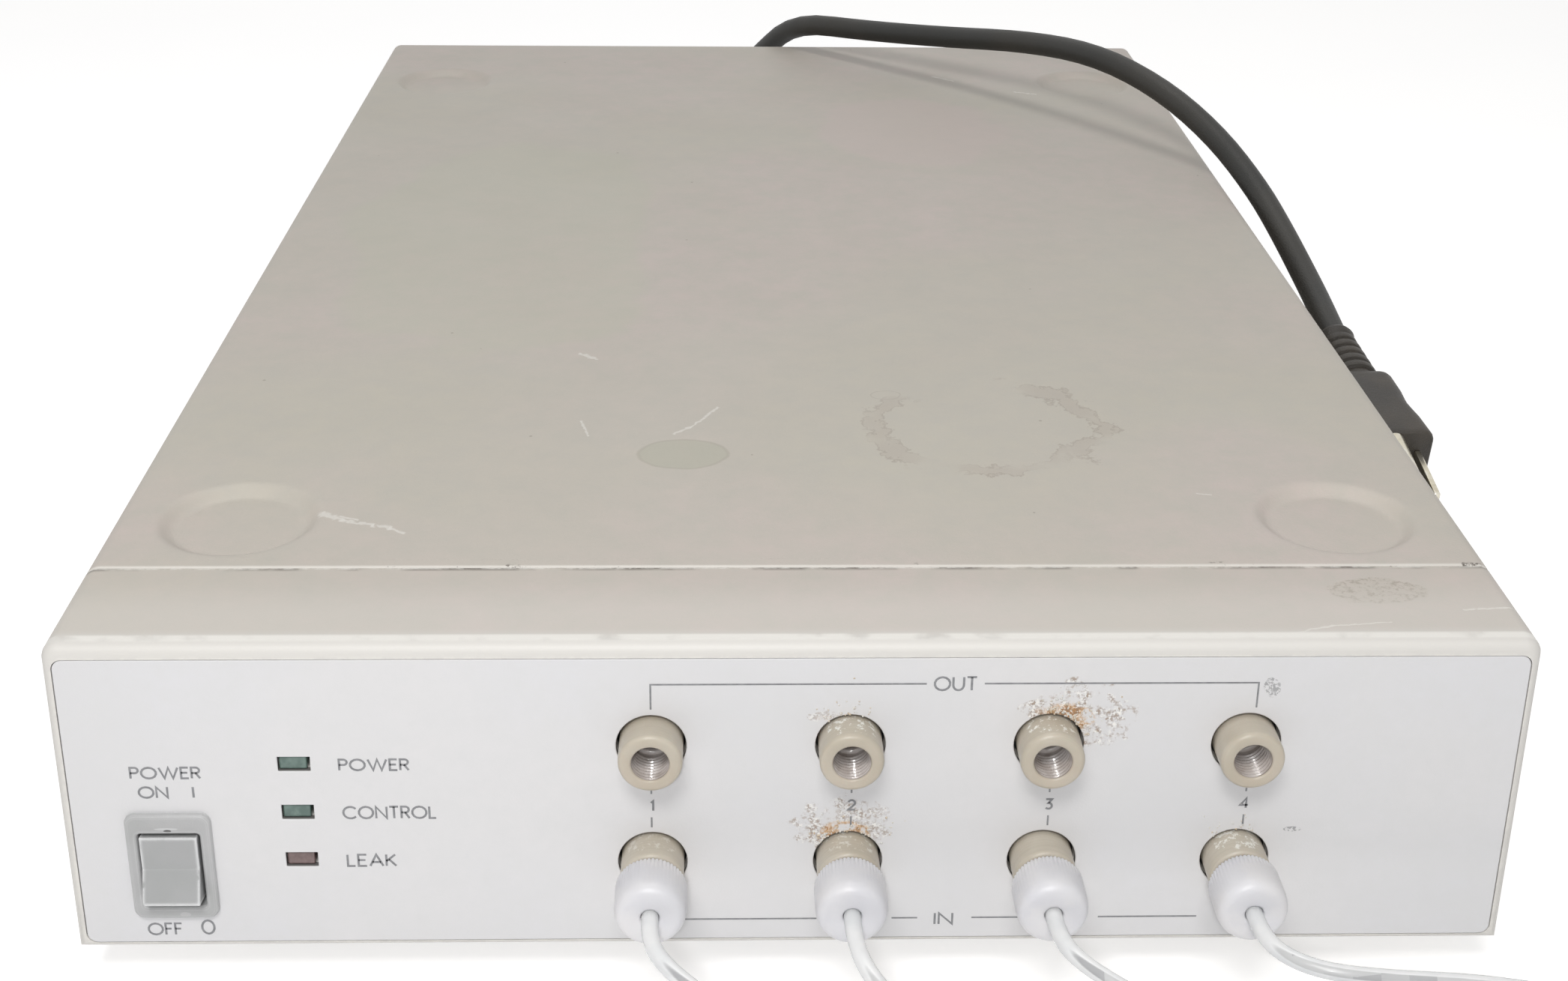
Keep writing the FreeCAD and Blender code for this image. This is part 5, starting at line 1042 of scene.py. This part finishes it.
# The fittings are tan polymer bulkhead unions. The open ones show an inner thread of 0.907 mm
# pitch, glossy with solvent and a darker grey for painted shade in the bore, behind a broad chamfer; the
# holes in the panel are wider than they are.
PORT_FRONT_Y, OUT_Z, IN_Z = -216.0, 51.6, 27.4
PORT_R, PORT_BORE_R, PORT_WAY_R, PORT_BORE_L, PORT_L = 5.65, 3.3, 0.8, 12.0, 29.0
THREAD_PITCH, THREAD_DEEP, THREAD_START, THREAD_END, THREAD_FADE = 0.907, 0.5, 0.45, 7.4, 0.5
SHADED_WET_R, SHADED_WET_FROM = 3.8, 0.25
port_finish, tree, shader, point = finish_of("fitting polymer", roughness=0.36, specular_ior_level=0.5,
                                             subsurface_weight=0.04)
tone = clouded(tree, point, 70.0, (192, 182, 167), (186, 176, 160), (197, 188, 174))
lathe = noise(tree, vector(tree, "MULTIPLY", point, (40.0, 3200.0, 40.0)), 1.0)
tone = painted(tree, tone, (174, 164, 149), ramp(tree, lathe, 0.4, 0.65), 0.25)
crystals = ramp(tree, noise(tree, point, 620.0, detail=6.0, roughness=0.75), 0.535, 0.57)
for x, z, amount in ((9.4, OUT_Z, 0.85), (44.4, OUT_Z, 0.9), (9.4, IN_Z, 0.5), (79.4, IN_Z, 0.8),
                     (-25.6, IN_Z, 0.35)):
    on_top = patch(tree, point, (x, -211.6, z + 5.2), (5.4, 3.4, 3.2), 0.7, 300.0)["Mask"]
    tone = painted(tree, tone, (238, 236, 230), on_top, crystals, amount)
coloured(tree, shader, tone)
grained(tree, shader, point, 2400.0, 0.12)
# The bore's darker grey colour is painted shade; its gloss is the solvent.
wet_shaded_thread_finish = simple_finish("wet shaded thread", 260.0, ((176, 166, 160), (160, 149, 142), (192, 184, 180)),
                              (3000.0, 0.2), roughness=0.24, coat_weight=0.7, coat_roughness=0.09)


def thread_wave(angle, distance, radius):
    """The bore's wall inside the mouth: r + deep * (1 - cos(2 pi (d / pitch + a / 2 pi))) / 2, which
    fades in over THREAD_FADE at each end."""
    phase = 2 * math.pi * distance / THREAD_PITCH + angle
    fade = (np.clip((distance - THREAD_START) / THREAD_FADE, 0, 1)
            * np.clip((THREAD_END - distance) / THREAD_FADE, 0, 1))
    on_wall = np.abs(radius - PORT_BORE_R) < 0.01
    return np.where(on_wall, radius + fade * THREAD_DEEP * (1 - np.cos(phase)) / 2, radius)


def port_piece(name, x, z, threaded):
    """One fitting: way, bore, chamfered mouth, rounded front edge, barrel, shank."""
    rows = np.linspace(THREAD_END, THREAD_START, 112 if threaded else 2)
    profile = [(PORT_WAY_R, PORT_BORE_L), (2.85, PORT_BORE_L), (2.85, 9.4), (2.88, 9.2), (2.98, 9.05),
               (3.12, 8.95), (3.62, 8.8), (3.66, 8.7), (3.66, 7.9), (3.6, 7.75), (3.34, 7.5)]
    profile += [(PORT_BORE_R, row) for row in rows]
    profile += [(3.34, 0.3), (3.46, 0.12), (3.58, 0.03), (3.7, 0.0), (4.75, 0.0), (5.05, 0.06),
                (5.32, 0.22), (5.52, 0.46), (5.62, 0.8), (PORT_R, 1.2), (PORT_R, 18.0), (4.0, 18.0),
                (4.0, PORT_L), (PORT_WAY_R, PORT_L)]
    return turned(name, profile, (x, PORT_FRONT_Y, z), (0, 1, 0), 72 if threaded else 56,
                  thread_wave if threaded else None)


in_fittings = []
for number, x in enumerate(PORT_XS, start=1):
    fitting = port_piece(f"out_fitting_{number}", x, OUT_Z, True)
    given(fitting, port_finish, "case", "port_polymer", f"out_port_{number}")
    fitting.data.materials.append(wet_shaded_thread_finish)
    for polygon in fitting.data.polygons:
        middle = polygon.center / MM
        if math.hypot(middle.x - x, middle.z - OUT_Z) < SHADED_WET_R and middle.y > PORT_FRONT_Y + SHADED_WET_FROM:
            polygon.material_index = 1
    in_fittings.append(port_piece(f"in_fitting_{number}", x, IN_Z, False))
in_row = one_piece("in_fittings", in_fittings)
given(in_row, port_finish, "case", "port_polymer", "in_ports")

# Dried salts stand up as small white grains on the panel over two of the fittings.
crust_finish = simple_finish("dried salts", 700.0, ((236, 233, 226), (214, 192, 160), (228, 226, 220)),
                             roughness=0.7, subsurface_weight=0.2)
grain_rng = np.random.default_rng(7)
grain_points, grain_faces_all = [], []
unit = [(0.0, 0.0, 1.0)] + [(math.cos(a), math.sin(a), 0.2) for a in np.arange(5) * 2 * math.pi / 5]
unit += [(math.cos(a + 0.6) * 0.8, math.sin(a + 0.6) * 0.8, -0.6) for a in np.arange(5) * 2 * math.pi / 5]
unit = np.array(unit)
LUMP_FACES = [[0, 1 + k, 1 + (k + 1) % 5] for k in range(5)]
LUMP_FACES += [[1 + k, 6 + k, 1 + (k + 1) % 5] for k in range(5)]
LUMP_FACES += [[6 + k, 6 + (k + 1) % 5, 1 + (k + 1) % 5] for k in range(5)]
LUMP_FACES.append([10, 9, 8, 7, 6])
SALT_PATCHES = ((44.4, OUT_Z, 110, 15, 100), (9.4, IN_Z, 70, 30, 150), (9.4, OUT_Z, 30, 60, 130),
                (79.4, IN_Z, 24, 60, 140))
for centre_x, centre_z, count, low_angle, high_angle in SALT_PATCHES:
    for k in range(count):
        angle = math.radians(grain_rng.uniform(low_angle, high_angle))
        far = 6.25 + grain_rng.exponential(1.6)
        size = grain_rng.uniform(0.09, 0.26)
        spin = grain_rng.uniform(0, 6.3)
        turned_unit = unit @ np.array([[math.cos(spin), math.sin(spin), 0],
                                       [-math.sin(spin), math.cos(spin), 0], [0, 0, 1.0]])
        shape = turned_unit * grain_rng.uniform(0.7, 1.3, 3) * size
        at = np.array([centre_x + far * math.cos(angle), PANEL_Y - size * 0.2,
                       centre_z + far * math.sin(angle)])
        start = len(grain_points)
        grain_points += (at + shape[:, [0, 2, 1]] * (1, -1, 1)).tolist()
        grain_faces_all += [[v + start for v in face] for face in LUMP_FACES]
crust = sealed(piece_from("dried_salt_grains", grain_points, grain_faces_all), math.radians(60))
given(crust, crust_finish, "case", "port_polymer")


# The inlet nuts are milky, a little translucent, with a domed nose and a fine knurl that is
# deepest at the rear rim. Each turns on its own line.
NUT_FRONT_Y, NUT_R, NUT_BORE_R, NUT_KNURLS = -226.6, 6.35, 1.58, 54
nut_finish = simple_finish("milky polymer", 90.0, ((219, 219, 223), (214, 214, 219), (223, 222, 224)),
                           (1800.0, 0.12), roughness=0.38, subsurface_weight=0.25,
                           subsurface_radius=metres(4.0, 4.0, 4.0), subsurface_scale=0.4)


def knurl_wave(angle, distance, radius):
    """Scallops round the barrel: r - d (1 - |cos(n a / 2)|), d from 0.03 at the nose to 0.3 behind."""
    on_barrel = (radius > 5.6) & (distance > 2.0)
    deep = 0.03 + 0.27 * np.clip((distance - 5.4) / 3.2, 0, 1) ** 2
    return np.where(on_barrel, radius - deep * (1 - np.abs(np.cos(NUT_KNURLS * angle / 2))), radius)


nut_profile = [(NUT_BORE_R, 18.3), (NUT_BORE_R, 0.6), (1.68, 0.22), (1.9, 0.06), (2.2, 0.0), (3.4, 0.0),
               (4.5, 0.02), (5.05, 0.14), (5.5, 0.4), (5.86, 0.82), (6.12, 1.36), (6.28, 2.1), (NUT_R, 3.0),
               (NUT_R, 4.4), (NUT_R, 5.6), (NUT_R, 6.6), (NUT_R, 7.4), (NUT_R, 8.1), (NUT_R, 8.6),
               (NUT_R - 0.12, 8.85), (NUT_R - 0.4, 8.9), (4.9, 8.9), (4.9, 10.3), (3.22, 10.3), (3.22, 18.3)]
for number, x in enumerate(PORT_XS, start=1):
    nut = turned(f"knurled_nut_{number}", nut_profile, (x, NUT_FRONT_Y, IN_Z), (0, 1, 0), 324, knurl_wave)
    given(nut, nut_finish, f"inlet_nut_{number}", "nut_polymer", f"inlet_nut_{number}")


# The rocker switch: a satin grey frame with a round outline, a well, the housing behind it with
# three terminals, and the rocker, which stands out at its lower end when it is off.
SWITCH_X, SWITCH_Z, ROCKER_Z = -111.2, 27.4, 26.65
switch_finish, tree, shader, point = finish_of("switch plastic", roughness=0.4, specular_ior_level=0.45)
tone = clouded(tree, point, 80.0, (175, 176, 177), (171, 172, 172), (179, 179, 180))
SWITCH_FRONT_Y = -211.2
tone = marked(tree, point, tone, (
    ((-111.4, SWITCH_FRONT_Y, 35.6), (2.3, 1.0, 0.24), 0.3, 500.0, (206, 207, 208), 0.7),
    ((-111.2, SWITCH_FRONT_Y, 35.2), (0.75, 1.0, 0.26), 0.8, 900.0, (52, 50, 48), 1.0),
    ((-109.6, SWITCH_FRONT_Y, 17.4), (1.0, 1.0, 0.5), 0.5, 500.0, (198, 198, 199), 0.5)))
# The lighter edges on the frame are a painted highlight.
coloured(tree, shader, worn_and_highlit_edges(tree, point, tone, srgb(212, 213, 214), 0.7))
grained(tree, shader, point, 2600.0, 0.16)
low = (0.0, ROCKER_Z - SWITCH_Z)
levels = rect_levels(((13.0, 19.6, 0.4, 22.0), (13.0, 19.6, 0.4, 0.0), (15.2, 22.0, 2.0, 0.0),
                      (15.2, 22.0, 2.0, -0.55), (15.0, 21.8, 1.9, -0.85), (14.6, 21.4, 1.8, -1.06),
                      (14.0, 20.8, 1.6, -1.17), (13.2, 20.0, 1.4, -1.2)))
levels += rect_levels(((12.0, 16.5, 1.0, -1.16), (11.5, 16.0, 0.9, -1.05), (11.1, 15.6, 0.7, -0.8),
                       (10.9, 15.35, 0.5, -0.3), (10.8, 15.3, 0.4, 0.4), (10.8, 15.3, 0.4, 10.0)), low)
frame_piece = stacked("switch_frame", levels, (SWITCH_X, PANEL_Y, SWITCH_Z), **FRONTWARD)
TERMINAL_STEP = 6.5
tab = rect_levels(((4.8, 0.8, 0.1, 21.9), (4.8, 0.8, 0.1, 28.0), (3.6, 0.7, 0.1, 29.0)))
terminals = [stacked(f"terminal_{k}", tab, (SWITCH_X, PANEL_Y, SWITCH_Z + (k - 1) * TERMINAL_STEP),
                     **FRONTWARD) for k in range(3)]
housing = one_piece("switch_body", [frame_piece] + terminals)
given(housing, switch_finish, "case", "switch_plastic", "switch_housing")
rocker_finish, tree, shader, point = finish_of("rocker plastic", roughness=0.34, specular_ior_level=0.5)
tone = clouded(tree, point, 60.0, (165, 166, 167), (161, 163, 163), (169, 170, 171))
# The near-white edges on the rocker are a painted highlight.
coloured(tree, shader, worn_and_highlit_edges(tree, point, tone, srgb(226, 227, 228), 0.62))
grained(tree, shader, point, 2800.0, 0.1)
dressed_copy("rocker", "rocker_key", 0.45, 4, rocker_finish, "rocker_plastic", "rocker")


# Three small lamps: clear tinted blocks set to the left of their windows, unlit.
LAMP_X, LAMP_W, LAMP_H = -88.45, 4.9, 2.7


def lamp_finish(name, dark, light):
    """A tinted lens: its body colour varies a little, and a fine grain sits under its gloss."""
    made, tree, shader, point = finish_of(name, roughness=0.18, coat_weight=0.5, coat_roughness=0.1,
                                          transmission_weight=0.12)
    cloudy = ramp(tree, noise(tree, point, 420.0, detail=3.0), 0.36, 0.66)
    coloured(tree, shader, blended(tree, cloudy, dark, light))
    grained(tree, shader, point, 1300.0, 0.25)
    return made


green_lens = lamp_finish("green lens", srgb(74, 100, 92), srgb(100, 124, 116))
red_lens = lamp_finish("red lens", srgb(98, 76, 74), srgb(122, 98, 96))
for node, z, finish, slot in (("power_lamp", 48.2, green_lens, "lamp_green"),
                              ("control_lamp", 38.2, green_lens, "lamp_green"),
                              ("leak_lamp", 28.2, red_lens, "lamp_red")):
    levels = rect_levels([(LAMP_W - less, LAMP_H - less, radius, depth) for less, radius, depth in (
        (0, 0.25, 8.0), (0, 0.25, 0.85), (0.08, 0.25, 0.68), (0.3, 0.2, 0.56), (0.7, 0.15, 0.5))])
    lens = stacked(f"{node}_lens", levels, (LAMP_X, PANEL_Y, z), **FRONTWARD)
    given(lens, finish, "case", slot, node)


# Four dark rubber feet stand on the table: each is a low round block with a screw hole below and
# a top face that nests in the dimple of a module underneath.
foot_finish, tree, shader, point = finish_of("foot rubber", roughness=0.72)
dusty = ramp(tree, noise(tree, point, 80.0, detail=5.0), 0.42, 0.66)
coloured(tree, shader, blended(tree, dusty, srgb(40, 39, 38), srgb(84, 80, 74)))
grained(tree, shader, point, 2400.0, 0.5)
foot_profile = [(0.0, 9.0), (0.0, 5.0), (2.6, 5.0), (2.6, 0.4), (2.8, 0.1), (3.1, 0.0), (9.0, 0.0),
                (9.6, 0.1), (10.0, 0.4), (10.2, 0.9), (10.9, 8.2), (11.0, 8.7), (11.0, 9.0)]
feet = []
for foot_x in (-DIMPLE_X, DIMPLE_X):
    for foot_y in DIMPLE_YS:
        feet.append(turned(f"foot_{len(feet)}", foot_profile, (foot_x, foot_y, 0.0), (0, 0, 1), 56))
feet = one_piece("rubber_feet", feet)
given(feet, foot_finish, "case", "foot_rubber", "feet")


# Tray, rear panel and everything inside keep the shapes of the frame. Their finishes are one
# cloudy colour each with a grain, and the boards carry tracks, parts and solder by height.
def cloudy_finish(name, colour, spread, scale, roughness, grain_scale, grain_depth, **values):
    """A finish whose colour wanders by the spread around the given one, with a fine grain."""
    made, tree, shader, point = finish_of(name, roughness=roughness, **values)
    pale, dark = [min(255, c + spread) for c in colour], [max(0, c - spread) for c in colour]
    tone = clouded(tree, point, scale, colour, dark, pale)
    coloured(tree, shader, tone)
    grained(tree, shader, point, grain_scale, grain_depth)
    uneven_gloss(tree, shader, point, scale * 3, roughness * 0.85, min(1.0, roughness * 1.2), 0.3, 0.7)
    return made, tree, shader, point, tone


zinc_finish, tree, shader, point, tone = cloudy_finish("zinc plated steel", (168, 170, 170), 14, 45.0, 0.4,
                                                       1800.0, 0.12, metallic=1.0)
spangle = joined(tree, "ShaderNodeTexVoronoi", {"Vector": point, "Scale": 180.0})
shade = joined(tree, "ShaderNodeSeparateColor", {"Color": spangle.outputs["Color"]}).outputs[0]
coloured(tree, shader, painted(tree, tone, (204, 206, 206), shade, 0.35))
rear_finish, tree, shader, point, tone = case_paint("rear paint", 0.5, 1500.0, 0.16)
coloured(tree, shader, worn_and_highlit_edges(tree, point, tone, srgb(222, 219, 212), 0.45))
screw_finish = cloudy_finish("screw steel", (150, 150, 148), 20, 300.0, 0.32, 2600.0, 0.2, metallic=1.0)[0]
board_finish, tree, shader, point, tone = cloudy_finish("board laminate", (38, 84, 58), 8, 60.0, 0.4,
                                                        2200.0, 0.1)
tracks = joined(tree, "ShaderNodeTexBrick", {"Vector": point, "Color1": srgb(46, 102, 70),
                                             "Color2": srgb(40, 92, 62), "Mortar": srgb(30, 70, 46),
                                             "Scale": 190.0, "Mortar Size": 0.05})
tone = blended(tree, ramp(tree, noise(tree, point, 90.0, detail=2.0), 0.47, 0.53), tone,
               tracks.outputs["Color"])
solder = placed(tree, speck_group, Point=point, Scale=330.0, Size=0.24, Share=0.35)["Mask"]
tone = painted(tree, tone, (196, 192, 176), solder, 0.8)
split = axes(tree, point)
chip_top = rise(tree, split["Z"], 16.9, 17.1)
chip_colour = blended(tree, ramp(tree, noise(tree, point, 30.0), 0.49, 0.51), srgb(38, 38, 40),
                      srgb(84, 88, 96))
coloured(tree, shader, blended(tree, chip_top, tone, chip_colour))

SLOT_FINISHES = {
    "zinc_steel": zinc_finish, "rear_paint": rear_finish, "board_laminate": board_finish,
    "port_polymer": port_finish, "clear_tube": tube_finish, "lead_jacket": lead_finish,
    "nut_polymer": nut_finish, "cover_paint": cover_finish, "switch_plastic": switch_finish,
}
for slot, name, colour, spread, scale, roughness, grain_scale, grain_depth, metallic in (
        ("chamber_plastic", "chamber plastic", (206, 200, 184), 8, 30.0, 0.45, 1600.0, 0.15, 0.0),
        ("membrane_polymer", "membrane polymer", (232, 234, 236), 8, 200.0, 0.35, 2600.0, 0.2, 0.0),
        ("motor_steel", "motor can", (150, 152, 154), 12, 60.0, 0.34, 2200.0, 0.1, 1.0),
        ("cast_aluminium", "cast aluminium", (172, 172, 170), 14, 90.0, 0.5, 1500.0, 0.6, 1.0),
        ("exhaust_brass", "exhaust brass", (186, 158, 96), 18, 160.0, 0.34, 2200.0, 0.15, 1.0),
        ("sensor_plastic", "sensor plastic", (70, 74, 80), 8, 90.0, 0.5, 1900.0, 0.2, 0.0)):
    SLOT_FINISHES[slot] = cloudy_finish(name, colour, spread, scale, roughness, grain_scale, grain_depth,
                                        metallic=metallic)[0]
dressed_copy("base_tray", "zinc_tray", 0.2, 2, zinc_finish, "zinc_steel")
dressed_copy("rear_panel", "rear_plate", 0.2, 2, rear_finish, "rear_paint")
for name, node in nodes.items():
    if not node.hide_render:
        slot_name = node.data.materials[0].name
        node.material_slots[0].link = "OBJECT"
        node.material_slots[0].material = SLOT_FINISHES[slot_name]
nodes["cover_screws"].material_slots[0].material = screw_finish


# The table is plain and white. Soft light comes from above and a little behind, so the lead's
# shadow lies almost right under it, and a smaller light near the lens fills the front.
FLOOR_SIZE, FLOOR_GLOW, FLOOR_Z = 16.0, 0.5, -0.2


def seen_rays(tree):
    """1 for the rays that show the floor or the room directly, in a gloss or through a clear piece."""
    rays = joined(tree, "ShaderNodeLightPath").outputs
    direct = maths(tree, "MAXIMUM", rays["Is Camera Ray"], rays["Is Glossy Ray"])
    return maths(tree, "MAXIMUM", direct, rays["Is Transmission Ray"])


floor_finish, tree, shader, point = finish_of("pale table", roughness=0.9, specular_ior_level=0.1)
coloured(tree, shader, clouded(tree, point, 5.0, (246, 246, 247), (245, 245, 246), (247, 247, 247)))
seen = seen_rays(tree)
glow = joined(tree, "ShaderNodeEmission", {"Color": (1.0, 1.0, 1.0, 1.0),
                                           "Strength": product(tree, seen, FLOOR_GLOW)})
lit = joined(tree, "ShaderNodeAddShader", {0: shader.outputs[0], 1: glow.outputs[0]})
tree.links.new(lit.outputs[0], tree.nodes["Material Output"].inputs["Surface"])
half = FLOOR_SIZE / 2 / MM
corners = [(-half, -half, FLOOR_Z), (half, -half, FLOOR_Z), (half, half, FLOOR_Z), (-half, half, FLOOR_Z)]
floor = piece_from("table", corners, [[0, 1, 2, 3]])
floor.data.materials.append(floor_finish)


def soft_light(name, at, target, width, height, power, colour=(1, 1, 1)):
    """A rectangular lamp at a place, turned to face a target; lengths in metres, power in watts."""
    lamp = bpy.data.lights.new(name, "AREA")
    lamp.shape, lamp.size, lamp.size_y = "RECTANGLE", width, height
    lamp.energy, lamp.color = power, colour
    light = linked(name, lamp)
    back = np.array(at, float) - np.array(target, float)
    back /= np.linalg.norm(back)
    side = np.cross((0, 1.0, 0) if abs(back[2]) > 0.9 else (0, 0, 1.0), back)
    side /= np.linalg.norm(side)
    turn = np.column_stack([side, np.cross(back, side), back])
    light.matrix_world = Matrix.Translation(at) @ Matrix(turn.tolist()).to_4x4()


soft_light("overhead", (-0.1, 0.35, 1.6), (0.0, 0.0, 0.0), 0.5, 0.35, 4.3, (1.0, 0.985, 0.96))
soft_light("key", (-0.1, -0.76, 0.78), (0.0, -0.1, 0.02), 0.34, 0.22, 3.8, (1.0, 0.985, 0.965))
soft_light("near the lens", (-0.03, -0.66, 0.33), (0.02, -0.15, 0.04), 0.04, 0.03, 0.78)
world = bpy.data.worlds.new("white room")
world.use_nodes = True
scene.world = world
tree = world.node_tree
tree.nodes.clear()
seen = seen_rays(tree)
room = joined(tree, "ShaderNodeBackground", {"Color": (1.0, 0.995, 0.985, 1.0), "Strength": 0.28})
white = joined(tree, "ShaderNodeBackground", {"Color": (1.0, 1.0, 1.0, 1.0), "Strength": 1.0})
either = joined(tree, "ShaderNodeMixShader", {0: seen, 1: room.outputs[0], 2: white.outputs[0]})
joined(tree, "ShaderNodeOutputWorld", {"Surface": either.outputs[0]})
